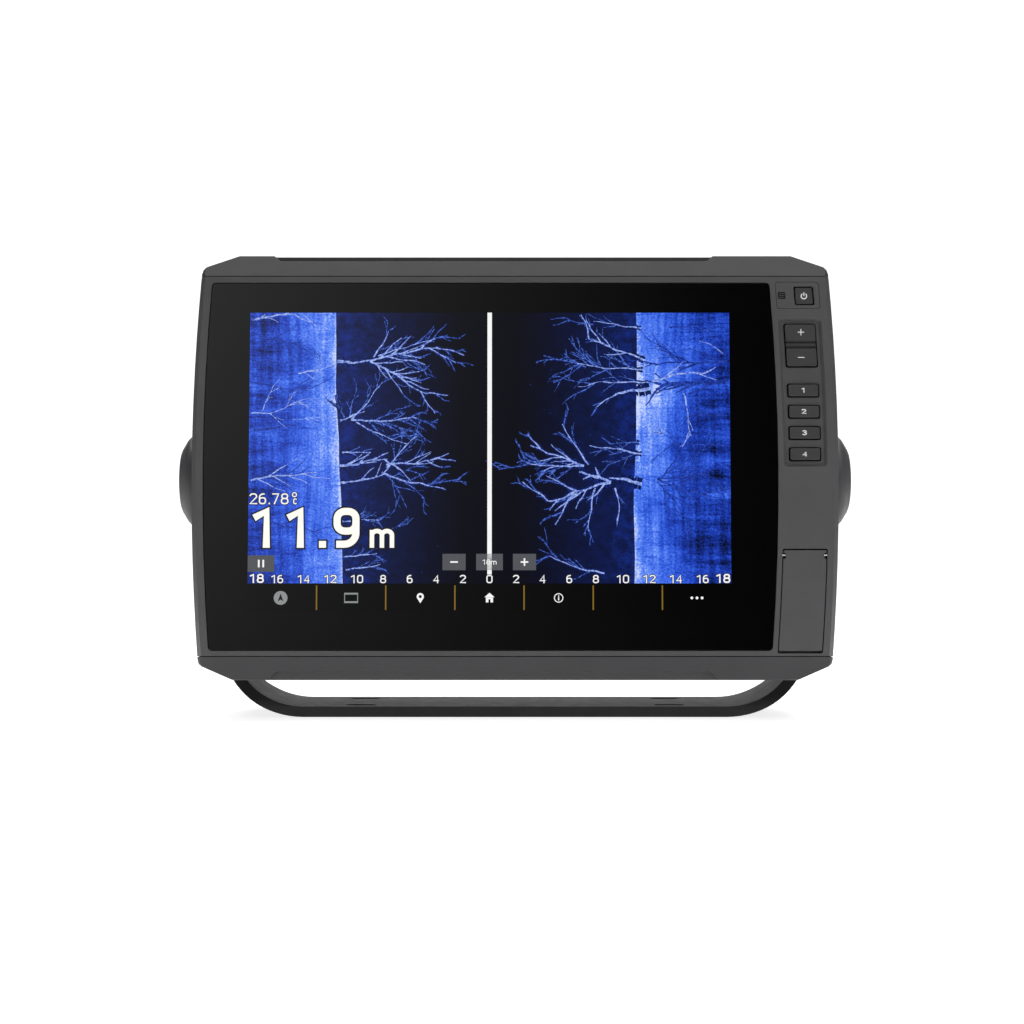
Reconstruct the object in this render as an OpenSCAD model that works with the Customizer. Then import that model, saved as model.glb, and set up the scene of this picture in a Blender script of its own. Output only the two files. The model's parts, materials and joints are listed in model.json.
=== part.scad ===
// Chartplotter display on a tilting bail bracket.
// Row frame: origin at the centre of the bail's screw slots on its underside, front towards -Y, +Z up.
// Everything in the display head is drawn in head axes: origin on the tilt axis, front towards -y.

/* [Head outline] */
// Half of the widest width of the head
half_w = 146.2; // [140:0.2:150]
// Radius of the bowed left and right sides
side_r = 1053; // [700:1:2000]
// Height of the widest point above the tilt axis
side_z = 4; // [0:0.5:10]
// Top of the head above the tilt axis
top_z = 100.2; // [98:0.1:102]
// Bottom of the head below the tilt axis
bottom_z = -93.05; // [-94:0.05:-92]
// Upper groove between bezel and top trim
groove_top_z = 89.3; // [88:0.1:90]
// Lower groove between bezel and bottom trim
groove_bottom_z = -82.5; // [-84:0.1:-82]

/* [Head depth] */
// Front face of the bezel
face_y = -38; // [-39:0.5:-37]
// Plane where bezel and rear housing meet
joint_y = -24.5; // [-25:0.1:-24]
// Rear of the wide flange of the rear housing
flange_y = -21; // [-21.5:0.1:-20.5]
// Flat back of the rear housing
back_y = 24; // [22:0.5:26]
// Wall thickness of the rear housing
wall = 3; // [2.5:0.1:3.5]

/* [Screen] */
// Width of the lit area, a 10.1 inch 16:10 panel
active_w = 217; // [210:0.5:220]
// Height of the lit area
active_h = 135.6; // [130:0.5:137]
// Centre of the lit area, sideways
active_x = -11.5; // [-12:0.1:-11]
// Centre of the lit area, height
active_z = 5; // [4:0.1:6]
// Top edge of the cover glass
glass_top_z = 86.4; // [86:0.1:87]
// Bottom edge of the cover glass
glass_bottom_z = -80; // [-80.5:0.1:-79.5]

/* [Tilt and bail] */
// Backward tilt of the head at rest, degrees
tilt = 5; // [0:1:20]
// Height of the tilt axis above the underside of the bail
pivot_z = 108; // [106:0.5:110]
// Tilt axis in depth
pivot_y = -2; // [-4:0.5:0]
// Thickness of the bail strap
strap = 4.8; // [4:0.1:6]
// Outer radius of the bail corners
bail_r = 41; // [36:1:44]
// Outer half width of the bail
bail_half = 137.6; // [137:0.1:138]
// Depth of the bail base
bail_depth = 54; // [50:1:58]
// Screw slot spacing, sideways
slot_dx = 142; // [130:1:150]
// Screw slot spacing, front to back
slot_dy = 35; // [30:1:36]

/* [Knobs] */
// Radius of the clamping knobs
knob_r = 21.1; // [18:0.1:21.5]
// Outer end of the knobs, from the centre
knob_end = 156; // [153:0.5:158]

/* [Keys] */
// Centre height of key 4, the lowest one
key_low_z = 8.4; // [8:0.1:9]
// Spacing of the number keys
key_pitch = 9.67; // [9.4:0.01:9.9]
// Height of a key cap
key_h = 5.2; // [4.5:0.1:5.6]
// Gap around each key cap
key_gap = 0.6; // [0.4:0.05:0.7]
// Depth of the recess around the rocker and the number keys
recess = 1.7; // [1:0.1:2]

/* [Rear ports] */
// Sideways place of the leftmost port, seen from the front
port_first_x = -97; // [-98:1:-96]
// Spacing of the ports
port_pitch = 20; // [19:0.5:20.5]
// Height of the row of ports
port_z = -42; // [-44:1:-40]

/* [Hidden] */
$fn = 64;

charcoal = [0.17, 0.17, 0.18];
graphite = [0.25, 0.25, 0.26];
board_green = [0.05, 0.30, 0.16];
steel = [0.72, 0.72, 0.74];

plate_y = -32.5;          // rear of the bezel's front plate
key_x = [22.1, 8.6];      // left and right edge of the number keys, in from the right side
port_r = [8, 7, 6, 6, 8.5];
port_pins = [6, 4, 5, 5, 8];
lip_y = -28;              // front of the bezel's rear flange, behind the trims
ledge_y = -35.1;          // ledge that the glass seals against
chamfer = 2.2;            // sideways run of the bezel's front chamfer
chamfer_y = 3.6;          // depth of that chamfer
window = [-128, 105, -72, 82];
tub_half = 130.5;
boss_x = 131;             // outer face of the pivot bosses
knob_in = 138.8;          // inner face of the knobs
shoulder_r = 5.9;         // plain part of the knob stud, turns in the bail
thread_r = 3.95;
bay_y = 16;               // floor of the port bay
port_end_y = 24;
neck = 0.5;               // step from a port's collar to its neck
hinge = [-36.6, -37.2];   // door hinge axis, y and z
rocker_zs = [48.5, 67.4];
rocker_mid = (rocker_zs[0] + rocker_zs[1]) / 2;
rocker_axis_y = -31;
tab_x = [120, 137.5];     // left faces of the two tabs that carry the rocker
tab = 1.4;                // thickness of those tabs
side_screw_z = [-70, -27, 44.6, 71.8];
edge_screw_x = [-100, -34, 34, 100];
side_screw_x = 139.2;
top_screw_z = 96;
bottom_screw_z = -89.4;
screw_length = 5.9;
screw_hole_y = -27.2;     // blind end of the screw holes in the bezel
boss_r = 2.9;             // screw bosses on the back of the bezel's plate
notch_x = [-107.1, 87.4]; // ends of the cut-back middle of the trims
top_crease_z = 97.4;
bottom_crease_z = -89.3;
slot_r = 2.75;            // screw slots in the base of the bail
slot_run = 4.25;          // half of a slot's straight part
bore_gap = 0.1;           // running gap around the knob studs
bay = [-108, -6, -62, -23];
bay_r = 5;
vent_x = 100;
slot_z = [-62.5, -47];    // middles of the two card slots
slot_x = 124.6;
card_slot = [1.6, 6];     // thickness and half height of a card slot
chassis_points = [for (x = [-134, 111.5], z = [-64, 3, 70]) [x, z]];
board_points = [for (x = [-95, -2, 91], z = [-55, 61]) [x, z]];

// ---- placing and extruding ----------------------------------------------------------------------

// Puts head axes in the row frame: tilted back about the tilt axis
module in_head() translate([0, pivot_y, pivot_z]) rotate([-tilt, 0, 0]) children();

// Extrudes a front view, drawn as (x, z), from depth y0 to y1
module depth(y0, y1) translate([0, y1, 0]) rotate([90, 0, 0]) linear_extrude(y1 - y0) children();

// Extrudes a side view, drawn as (y, z), from x0 to x1
module across(x0, x1) translate([x0, 0, 0]) rotate([90, 0, 90]) linear_extrude(x1 - x0) children();

// Cylinder along y at (x, z)
module rod_y(x, z, r, y0, y1) translate([x, y1, z]) rotate([90, 0, 0]) cylinder(r = r, h = y1 - y0);

// Cylinder along x at (y, z)
module rod_x(y, z, r, x0, x1) translate([x0, y, z]) rotate([0, 90, 0]) cylinder(r = r, h = x1 - x0);

module box(x0, x1, y0, y1, z0, z1) translate([x0, y0, z0]) cube([x1 - x0, y1 - y0, z1 - z0]);

// ---- outlines in the front view -----------------------------------------------------------------

// Half width at height z of an arc set in from the side by inset
function side_x(inset, z) = half_w - side_r + sqrt(pow(side_r - inset, 2) - pow(z - side_z, 2));

// An edge is [side, inset]; its sideways place at height z
function edge_x(e, z) = e[0] * side_x(e[1], z);

function corner(cx, cz, r, a0) = [for (i = [0:5]) [cx + r * cos(a0 + 18 * i), cz + r * sin(a0 + 18 * i)]];

function along(e, z0, z1, n) = [for (i = [1:n - 1]) let (z = z0 + (z1 - z0) * i / n) [edge_x(e, z), z]];

// Panel between two bowed edges with rounded corners
function panel(le, re, z0, z1, r, n = 8) = concat(
    corner(edge_x(le, z0 + r) + r, z0 + r, r, 180),
    corner(edge_x(re, z0 + r) - r, z0 + r, r, 270),
    along(re, z0 + r, z1 - r, n),
    corner(edge_x(re, z1 - r) - r, z1 - r, r, 0),
    corner(edge_x(le, z1 - r) + r, z1 - r, r, 90),
    along(le, z1 - r, z0 + r, n));

// Plain rounded rectangle
function rrect(x0, x1, z0, z1, r) = concat(
    corner(x0 + r, z0 + r, r, 180), corner(x1 - r, z0 + r, r, 270),
    corner(x1 - r, z1 - r, r, 0), corner(x0 + r, z1 - r, r, 90));

// Right half of the head's outline, from bottom to top, set in by t
function half_outline(t) = concat(
    [[127.4 - t / 3, bottom_z + t], [140.7 - t, -87.1 + t / 2], [142.0 - t, -85.9 + t / 2]],
    [for (i = [0:12]) let (z = -84 + 175 * i / 12) [side_x(t, z), z]],
    [[141.9 - t, 93 - t / 2], [140.6 - t, 94.3 - t / 2], [125.9 - t / 3, top_z - t]]);

function outline(t) = let (h = half_outline(t), n = len(h))
    concat(h, [for (i = [n - 1:-1:0]) [-h[i][0], h[i][1]]]);

// Outer solid of the front: chamfered at its front edge, straight behind
module front_solid() {
    hull() {
        depth(face_y, face_y + 0.01) polygon(outline(chamfer));
        depth(face_y + chamfer_y - 0.01, face_y + chamfer_y) polygon(outline(0));
    }
    depth(face_y + chamfer_y, joint_y) polygon(outline(0));
}

// ---- bail bracket -------------------------------------------------------------------------------

// Points of an arc about (cx, cz) from angle a0 to a1
function arc(cx, cz, r, a0, a1, n) =
    [for (i = [0:n]) let (a = a0 + (a1 - a0) * i / n) [cx + r * cos(a), cz + r * sin(a)]];

// One side of the strap's U, set in by t, from the middle of the base up the right arm
function strap_half(t) = let (cx = bail_half - bail_r)
    concat(arc(cx, bail_r, bail_r - t, -90, 0, 20), [[bail_half - t, 140]]);

function reversed(pts) = [for (i = [len(pts) - 1:-1:0]) pts[i]];

function flipped(pts) = [for (p = pts) [-p[0], p[1]]];

module strap_front() let (out = strap_half(0), in = strap_half(strap))
    polygon(concat(out, reversed(in), flipped(in), reversed(flipped(out))));

// Side view: wide base, tapered corners, and arms that end round about the tilt axis
module strap_side() {
    arm = 18;
    half = bail_depth / 2;
    polygon(concat([[-half, -1], [half, -1], [half, 5], [half - 1.5, 9], [pivot_y + arm, 24]],
        arc(pivot_y, pivot_z, arm, 0, 180, 36), [[pivot_y - arm, 17], [-half + 1.2, 8], [-half, 5]]));
}

// Screw slot with round ends, running sideways
module slot(x, y) {
    for (s = [-1, 1]) translate([x + s * slot_run, y, -1]) cylinder(r = slot_r, h = strap + 2);
    translate([x - slot_run, y - slot_r, -1]) cube([2 * slot_run, 2 * slot_r, strap + 2]);
}

module bail_bracket() color(charcoal) difference() {
    intersection() {
        depth(-40, 40) strap_front();
        across(-150, 150) strap_side();
    }
    for (x = [-slot_dx / 2, slot_dx / 2], y = [-slot_dy / 2, slot_dy / 2]) slot(x, y);
    rod_x(pivot_y, pivot_z, shoulder_r + bore_gap, -150, 150);
}

// ---- rear housing -------------------------------------------------------------------------------

// The tub behind the flange, shrunk by t on every wall
module tub(t) intersection() {
    depth(flange_y - 8, back_y - t) polygon(rrect(-tub_half + t, tub_half - t, -83 + t, 89 - t, 14 - t));
    across(-tub_half, tub_half) polygon([[flange_y - 9, -90], [flange_y - 9, 95],
        [flange_y, 89 - t], [6, 88 - t],
        [back_y - t, 76 - t / 2], [back_y - t, -68 + t / 2], [6, -82 + t], [flange_y, -83 + t]]);
    linear_extrude(220, center = true) polygon([
        [-tub_half + t, -40], [-tub_half + t, 18.5 - t / 2], [-122 + t / 2, back_y - t],
        [122 - t / 2, back_y - t], [tub_half - t, 18.5 - t / 2], [tub_half - t, -40]]);
}

module housing_holes() {
    for (p = screw_points()) {
        rod_y(p[0], p[1], 1.6, joint_y - 1, flange_y + 1);
        rod_y(p[0], p[1], 3, flange_y - 1.7, flange_y + 1);
    }
}

function screw_points() = concat(
    [for (s = [-1, 1], z = side_screw_z) [s * side_screw_x, z]],
    [for (x = edge_screw_x) [x, top_screw_z]],
    [for (x = edge_screw_x) [x, bottom_screw_z]]);

module cooling_ribs() for (x = [-105:7:105]) box(x - 1.1, x + 1.1, back_y - 1, back_y + 3, -6, 66);

module rear_housing() color(charcoal) in_head() difference() {
    union() {
        difference() {
            union() {
                depth(joint_y, flange_y) polygon(outline(0));
                intersection() {
                    tub(0);
                    box(-150, 150, flange_y - 1, 40, -100, 100);
                }
                cooling_ribs();
            }
            tub(wall);
        }
        for (s = [-1, 1]) rod_x(0, 0, 11, s > 0 ? 112 : -129, s > 0 ? 129 : -112);
        for (s = [-1, 1]) rod_x(0, 0, 17, s > 0 ? 129 : -boss_x, s > 0 ? boss_x : -129);
        box(-111, -3, bay_y - 3, back_y - 1, -66, -20);
    }
    for (s = [-1, 1]) rod_x(0, 0, 7, s > 0 ? 114 : -133, s > 0 ? 133 : -114);
    depth(bay_y, back_y + 9) polygon(rrect(bay[0], bay[1], bay[2], bay[3], bay_r));
    for (i = [0:4]) rod_y(port_x(i), port_z, port_r[i] - neck + 0.05, 0, bay_y + 1);
    rod_y(vent_x, port_z, 7, back_y - 1, back_y + 1);
    rod_y(vent_x, port_z, 1.5, 10, back_y + 1);
    depth(joint_y - 1, joint_y + 1.5) seal_outline();
    housing_holes();
    // The knobs turn past the back of the rim
    for (s = [-1, 1]) rod_x(0, 0, knob_r + 0.5, s > 0 ? knob_in - 0.3 : -150, s > 0 ? 150 : 0.3 - knob_in);
}

// Closed ring that the housing gasket fills
module seal_outline() difference() {
    polygon(rrect(-134.2, 134.2, -86.3, 92.4, 8));
    polygon(rrect(-132.2, 132.2, -84.3, 90.4, 6));
}

module housing_gasket() color([0.08, 0.08, 0.08]) in_head() depth(joint_y, joint_y + 1.5) seal_outline();

// Pan head screw along y: head towards +y
module screw(x, z, head_y, length, head_r = 2.6, shank_r = 1.2) {
    rod_y(x, z, head_r, head_y - 1.5, head_y);
    rod_y(x, z, shank_r, head_y - length, head_y - 1.5);
}

// Six sided driver recess
module driver(x, z, head_y, r = 1.2) translate([x, head_y + 0.01, z]) rotate([90, 0, 0])
    cylinder(r = r, h = 1, $fn = 6);

module housing_screws() color(steel) in_head() for (p = screw_points()) difference() {
    screw(p[0], p[1], flange_y - 0.1, screw_length);
    driver(p[0], p[1], flange_y - 0.1);
}

// ---- front bezel and trims ----------------------------------------------------------------------

// Bowed outline inside the keypad strip: distances from the right side to its left and right edge
module strip(l, r, z0, z1, rad) polygon(panel([1, l], [1, r], z0, z1, rad, 5));

module key_recess() hull() {
    depth(face_y - 0.02, face_y) strip(25, 5.5, 2.5, 70.6, 1.6);
    depth(face_y + recess - 0.01, face_y + recess) strip(23.9, 6.7, 3.6, 69.5, 1.3);
}

function key_z(i) = key_low_z + key_pitch * (3 - i);

function port_x(i) = port_first_x + port_pitch * i;

// Opening around a key cap that spans z0 to z1
module key_hole(z0, z1) depth(face_y, plate_y + 1)
    strip(key_x[0] + key_gap, key_x[1] - key_gap, z0 - key_gap, z1 + key_gap, 1);

// Recess for the card door: a ledge for its seal, a trough for its hinge and the mouth of the card pocket
module door_recess() {
    depth(face_y - 1, ledge_y) strip(25.4, 5.1, -81.35, -34.4, 0.8);
    depth(ledge_y - 0.1, plate_y - 1.2) strip(25.4, 5.1, -40, -34.4, 0.8);
    depth(ledge_y - 0.1, plate_y + 1) strip(22, 8.8, -77, -41.8, 1.2);
    rod_x(hinge[0], hinge[1], 0.65, 119.2, 141.6);
}

module bezel_cuts() {
    depth(plate_y, joint_y + 1) polygon(panel([-1, 3], [1, 3], groove_bottom_z + 3, groove_top_z - 3, 4));
    depth(face_y - 1, ledge_y)
        polygon(panel([-1, 5.45], [1, 27.55], glass_bottom_z - 0.25, glass_top_z + 0.25, 2));
    box(window[0], window[1], ledge_y - 1, plate_y + 1, window[2], window[3]);
    key_recess();
    for (i = [0:3]) key_hole(key_z(i) - key_h / 2, key_z(i) + key_h / 2);
    key_hole(rocker_zs[0], rocker_zs[1]);
    depth(face_y - 1, face_y + 0.8) strip(25.1, 5.4, 74.6, 86.9, 1.2);
    depth(face_y, plate_y + 1) strip(16.9, 7.9, 76.2, 84.9, 1);
    depth(face_y, face_y + 3) strip(24.1, 20.9, 79.1, 82.3, 0.3);
    door_recess();
    for (p = chassis_points) rod_y(p[0], p[1], 1.1, plate_y - 1, joint_y);
    for (p = screw_points()) rod_y(p[0], p[1], 1.3, screw_hole_y, joint_y + 1);
    for (s = [-1, 1]) rod_x(rocker_axis_y, rocker_mid, 1.08, 119, 140);
}

module front_bezel() color(graphite) in_head() {
    difference() {
        union() {
            intersection() {
                front_solid();
                box(-150, 150, -40, 0, groove_bottom_z, groove_top_z);
            }
            depth(lip_y, joint_y) difference() {
                polygon(outline(0));
                polygon(panel([-1, 3], [1, 3], groove_bottom_z + 3, groove_top_z - 3, 4));
            }
        }
        bezel_cuts();
    }
    for (p = chassis_points) difference() {
        rod_y(p[0], p[1], 2.6, plate_y - 0.01, -28.4);
        rod_y(p[0], p[1], 1.1, plate_y, -28);
    }
    for (s = [-1, 1], z = side_screw_z) difference() {
        rod_y(s * side_screw_x, z, boss_r, plate_y - 0.01, joint_y);
        rod_y(s * side_screw_x, z, 1.3, screw_hole_y, joint_y + 1);
    }
    for (x = tab_x) difference() {
        box(x, x + tab, plate_y - 0.01, -29.3, rocker_mid - 2.2, rocker_mid + 2.2);
        rod_x(rocker_axis_y, rocker_mid, 1.08, x - 1, x + 3);
    }
}

// Cut-back middle of a trim: keeps everything nearer the groove than the crease
module trim_notch(crease_z, out_z) let (run = abs(out_z - crease_z)) depth(-40, -20) polygon([
    [notch_x[0], crease_z], [notch_x[1], crease_z],
    [notch_x[1] + run, out_z], [notch_x[1] + run + 3, out_z * 1.1],
    [notch_x[0] - run - 3, out_z * 1.1], [notch_x[0] - run, out_z]]);

// A trim follows the outline beyond a groove and slopes back from it
module trim(groove_z, out_z, crease_z) {
    d = sign(out_z);
    difference() {
        intersection() {
            front_solid();
            across(-150, 150) polygon([[face_y + 0.3, groove_z + 0.3 * d], [face_y + 6.8, out_z],
                [lip_y - 0.05, out_z], [lip_y - 0.05, groove_z + 0.3 * d]]);
        }
        trim_notch(crease_z, out_z);
        across(-124, 124) polygon([[face_y + 3.4, groove_z + 2.2 * d], [face_y + 5.8, crease_z - 2 * d],
            [lip_y + 1, crease_z - 2 * d], [lip_y + 1, groove_z + 2.2 * d]]);
    }
}

module top_trim() color([0.22, 0.22, 0.23]) in_head() trim(groove_top_z, top_z, top_crease_z);
module bottom_trim() color([0.22, 0.22, 0.23]) in_head() trim(groove_bottom_z, bottom_z, bottom_crease_z);

// ---- screen stack -------------------------------------------------------------------------------

module cover_glass() color([0.03, 0.03, 0.04]) in_head()
    depth(face_y + 0.4, face_y + 2.4) polygon(panel([-1, 5.7], [1, 27.8], glass_bottom_z, glass_top_z, 1.8));

module glass_gasket() color([0.05, 0.05, 0.05]) in_head() depth(face_y + 2.4, ledge_y) difference() {
    polygon(panel([-1, 6.2], [1, 28.3], glass_bottom_z + 0.5, glass_top_z - 0.5, 1.5));
    translate([window[0], window[2]]) square([window[1] - window[0], window[3] - window[2]]);
}

// Layer of the screen stack, wider than the lit area by grow
module layer(y0, y1, grow) depth(y0, y1) translate([active_x, active_z])
    square([active_w + 2 * grow, active_h + 2 * grow], center = true);

module touch_sensor() color([0.25, 0.3, 0.32]) in_head() layer(-35.55, -34.95, 6);
module lcd_cell() color([0.08, 0.08, 0.1]) in_head() layer(-34.85, -33.2, 5);
module backlight_unit() color([0.85, 0.85, 0.86]) in_head() layer(-33.1, -28.5, 5.5);

module chassis_plate() color([0.7, 0.7, 0.72]) in_head() difference() {
    depth(-28.4, -27.2) polygon(rrect(-135.8, 115.5, -76, 84, 5));
    for (p = chassis_points) rod_y(p[0], p[1], 1.4, -30, -26);
    box(-32, 12, -30, -26, -74, -69.6);
}

module chassis_screws() color(steel) in_head() for (p = chassis_points) difference() {
    screw(p[0], p[1], -25.7, 5.5, 2.4, 1);
    driver(p[0], p[1], -25.7);
}

// ---- electronics --------------------------------------------------------------------------------

module board_standoffs() color(steel) in_head() for (p = board_points) difference() {
    translate([p[0], -21, p[1]]) rotate([90, 0, 0]) cylinder(r = 3, h = 6.2, $fn = 6);
    rod_y(p[0], p[1], 1.2, -25, -20);
}

module main_board() color(board_green) in_head() difference() {
    depth(-21, -19.4) polygon(rrect(-100, 96, -60, 66, 2));
    for (p = board_points) rod_y(p[0], p[1], 1.5, -22, -19);
}

module board_screws() color(steel) in_head() for (p = board_points) difference() {
    screw(p[0], p[1], -17.9, 5, 2.6, 1.15);
    driver(p[0], p[1], -17.9);
}

module processor() color([0.1, 0.1, 0.1]) in_head() box(-25, 5, -19.4, -17.4, 10, 40);

module memory_chips() color([0.12, 0.12, 0.12]) in_head()
    for (i = [0:3]) box(-25 + 16 * i, -13 + 16 * i, -19.4, -18.2, -12, 4);

module shield_cans() color(steel) in_head() {
    box(-88, -40, -19.4, -15.4, -40, 10);
    box(20, 62, -19.4, -15.4, -45, -15);
}

module heat_sink() color([0.6, 0.6, 0.62]) in_head() {
    box(-38, 30, -17.4, -14.9, 6, 46);
    for (x = [-38:6:28]) box(x, x + 1.6, -15, -4, 6, 46);
}

module gps_antenna() color([0.75, 0.7, 0.6]) in_head() {
    box(-74, -46, -19.4, 6.6, 50, 51.6);
    box(-72.5, -47.5, -18, 6, 51.6, 56);
}

module power_capacitors() color([0.15, 0.15, 0.2]) in_head()
    for (x = [72, 83], z = [-4, 8, 20]) rod_y(x, z, 4, -19.4, -9);

module beeper() color([0.1, 0.1, 0.1]) in_head() difference() {
    rod_y(80, -32, 6, -19.4, -13.4);
    rod_y(80, -32, 1, -15, -13);
}

module display_ribbon() color([0.75, 0.5, 0.1]) in_head() across(-28, 8) polygon([
    [-33.9, -67.9], [-33.9, -71.8], [-18.6, -71.8], [-18.6, -58.4], [-19.4, -58.4],
    [-19.4, -60.1], [-19, -60.1], [-19, -71.4], [-33.5, -71.4], [-33.5, -67.9]]);

module keypad_ribbon() color([0.75, 0.5, 0.1]) in_head() translate([0, 0, 22]) linear_extrude(12)
    polygon([[124, -27.5], [124, -27.1], [116.2, -19], [88, -19], [88, -19.4], [116, -19.4], [123.5, -27.5]]);

// ---- keypad -------------------------------------------------------------------------------------

module power_plate() color([0.3, 0.3, 0.31]) in_head() depth(face_y, face_y + 0.8) difference() {
    strip(24.9, 5.6, 74.8, 86.7, 1);
    strip(16.9, 7.9, 76.2, 84.9, 1);
    strip(24.1, 20.9, 79.1, 82.3, 0.3);
}

module light_sensor() color([0.05, 0.05, 0.06]) in_head()
    depth(face_y + 0.3, face_y + 3) strip(24, 21, 79.2, 82.2, 0.3);

// Key cap with a retaining lip behind the bezel plate
module key_cap(l, r, z0, z1, lip) {
    depth(face_y + 0.4, plate_y + 0.2) strip(l, r, z0, z1, 0.8);
    depth(plate_y + 0.2, plate_y + 1.1) strip(l + lip, r - lip, z0 - lip, z1 + lip, 0.8);
}

module power_button() color([0.18, 0.18, 0.19]) in_head() key_cap(16.3, 8.5, 76.8, 84.3, 0.9);

module number_key(i) color([0.2, 0.2, 0.21]) in_head()
    key_cap(key_x[0], key_x[1], key_z(i) - key_h / 2, key_z(i) + key_h / 2, 1.4);
module key_1() number_key(0);
module key_2() number_key(1);
module key_3() number_key(2);
module key_4() number_key(3);

// Zoom rocker: two raised pads, two grooves and a ridge between them, and a trunnion at each side
module rocker_key() color([0.2, 0.2, 0.21]) in_head() {
    mid = rocker_mid + 0.45;
    difference() {
        depth(face_y + 0.4, plate_y + 0.9) strip(key_x[0], key_x[1], rocker_zs[0], rocker_zs[1], 0.8);
        across(110, 145) polygon([[-39, mid - 2.3], [-37.6, mid - 2.3], [-36, mid - 1.2],
            [-36.9, mid - 0.4], [-36.9, mid + 0.4], [-36, mid + 1.2], [-37.6, mid + 2.3],
            [-39, mid + 2.3]]);
    }
    depth(plate_y + 0.4, plate_y + 0.9) strip(23.1, 7.4, rocker_zs[0] + 1, rocker_zs[1] - 1, 0.8);
    for (x = [121.8, 135.2]) box(x, x + 1.9, plate_y + 0.5, -30.3, rocker_mid - 1.2, rocker_mid + 1.2);
    rod_x(rocker_axis_y, rocker_mid, 1, tab_x[0] + 0.1, 122.5);
    rod_x(rocker_axis_y, rocker_mid, 1, 136.4, tab_x[1] + tab - 0.1);
}

// Room for the screw bosses beside the keypad
module boss_cuts() for (z = side_screw_z) if (z > 0) rod_y(side_screw_x, z, boss_r + 0.3, plate_y - 1, joint_y);

// Rubber sheet under the keys, with a rim that seals against the bezel plate
module keypad_membrane() color([0.1, 0.1, 0.11]) in_head() difference() {
    union() {
        depth(-30.3, -29.1) difference() {
            strip(26.2, 4, -1, 86, 3.4);
            for (x = [118.6, 134.8]) translate([x, rocker_mid - 3]) square([5.6, 6]);
        }
        depth(plate_y, -30.2) difference() {
            strip(26.2, 4, -1, 86, 3.4);
            strip(25.2, 5.6, 0.6, 85.5, 2.6);
        }
    }
    boss_cuts();
}

module keypad_board() color(board_green) in_head() difference() {
    depth(-29.1, -27.5) strip(26, 4.2, -1, 85.8, 3.4);
    boss_cuts();
}

// ---- card bay -----------------------------------------------------------------------------------

module card_door() color([0.27, 0.27, 0.28]) in_head() difference() {
    union() {
        depth(face_y, face_y + 1.8) strip(24.9, 5.6, -80.15, -35.1, 0.8);
        rod_x(hinge[0], hinge[1], 1.4, 121.6, 138.6);
    }
    rod_x(hinge[0], hinge[1], 0.68, 118, 142);
    box(118, 121.5, -39, -30, hinge[1] - 1.7, hinge[1] + 0.9);
    box(138.7, 142, -39, -30, hinge[1] - 1.7, hinge[1] + 0.9);
}

module door_hinge_pin() color(steel) in_head() rod_x(hinge[0], hinge[1], 0.6, 119.4, 141.4);

module door_gasket() color([0.06, 0.06, 0.06]) in_head() depth(face_y + 1.8, face_y + 2.8) difference() {
    strip(23.6, 7.0, -78.6, -40.2, 1.5);
    strip(22.2, 8.4, -77.2, -41.6, 1);
}

// Slot for one card, from depth y0 to y1
module card_gap(z, y0, y1) box(slot_x, slot_x + card_slot[0], y0, y1, z - card_slot[1], z + card_slot[1]);

module card_tray() color([0.13, 0.13, 0.14]) in_head() difference() {
    depth(plate_y, -26) strip(24, 7.7, -79, -36.4, 1.5);
    depth(plate_y - 1, -27.5) strip(22, 9.2, -77.2, -41.2, 1);
    for (z = slot_z) card_gap(z, -29, -25);
}

module card_board() color(board_green) in_head() box(slot_x - 2.3, slot_x - 0.9, -26, -6, -72, -38);

module card_sockets() color(steel) in_head() for (z = slot_z) difference() {
    box(slot_x - 0.9, slot_x + 2.7, -26, -11, z - 7.5, z + 7.5);
    card_gap(z, -27, -12);
}

// ---- clamping knobs -----------------------------------------------------------------------------

// Knob drawn along +z from its inner face: a turned body with finger grooves around its rim
module knob() {
    top = knob_end - knob_in;
    dome_r = 13.8;
    groove_r = 6.6;
    difference() {
        rotate_extrude($fn = 96) polygon(concat(
            [[shoulder_r + 0.02, 0], [knob_r - 0.8, 0], [knob_r, 0.8], [knob_r, top - 6.8],
                [knob_r - 0.6, top - 5.3], [knob_r - 1.8, top - 4.1], [dome_r + 1.4, top - 1.6]],
            [for (i = [0:6]) let (r = dome_r * (1 - i / 6)) [r, top - 1.05 * pow(r / dome_r, 2)]],
            [[0, 8], [shoulder_r + 0.02, 8]]));
        for (a = [0:45:315]) rotate([0, 0, a])
            translate([knob_r + groove_r - 1, 0, -1]) cylinder(r = groove_r, h = 10);
    }
}

module stud() {
    translate([0, 0, boss_x - knob_in]) cylinder(r = shoulder_r, h = knob_in - boss_x + 7.9);
    translate([0, 0, -21]) cylinder(r = thread_r, h = 21 + boss_x - knob_in + 0.01);
}

module washer() difference() {
    cylinder(r = 13, h = 1);
    translate([0, 0, -1]) cylinder(r = shoulder_r + bore_gap, h = 3);
}

module pad() difference() {
    cylinder(r = 16, h = 1.7);
    translate([0, 0, -1]) cylinder(r = 7.2, h = 4);
}

// Moves a part drawn along +z to the pivot, at distance x on side s
module on_side(s, x) in_head() rotate([0, s * 90, 0]) translate([0, 0, x]) children();

module knob_left() color([0.16, 0.16, 0.17]) on_side(-1, knob_in) knob();
module knob_right() color([0.16, 0.16, 0.17]) on_side(1, knob_in) knob();
module knob_stud_left() color(steel) on_side(-1, knob_in) stud();
module knob_stud_right() color(steel) on_side(1, knob_in) stud();
module washer_left() color(steel) on_side(-1, bail_half + 0.1) washer();
module washer_right() color(steel) on_side(1, bail_half + 0.1) washer();
module friction_pad_left() color([0.05, 0.05, 0.05]) on_side(-1, boss_x) pad();
module friction_pad_right() color([0.05, 0.05, 0.05]) on_side(1, boss_x) pad();

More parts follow.
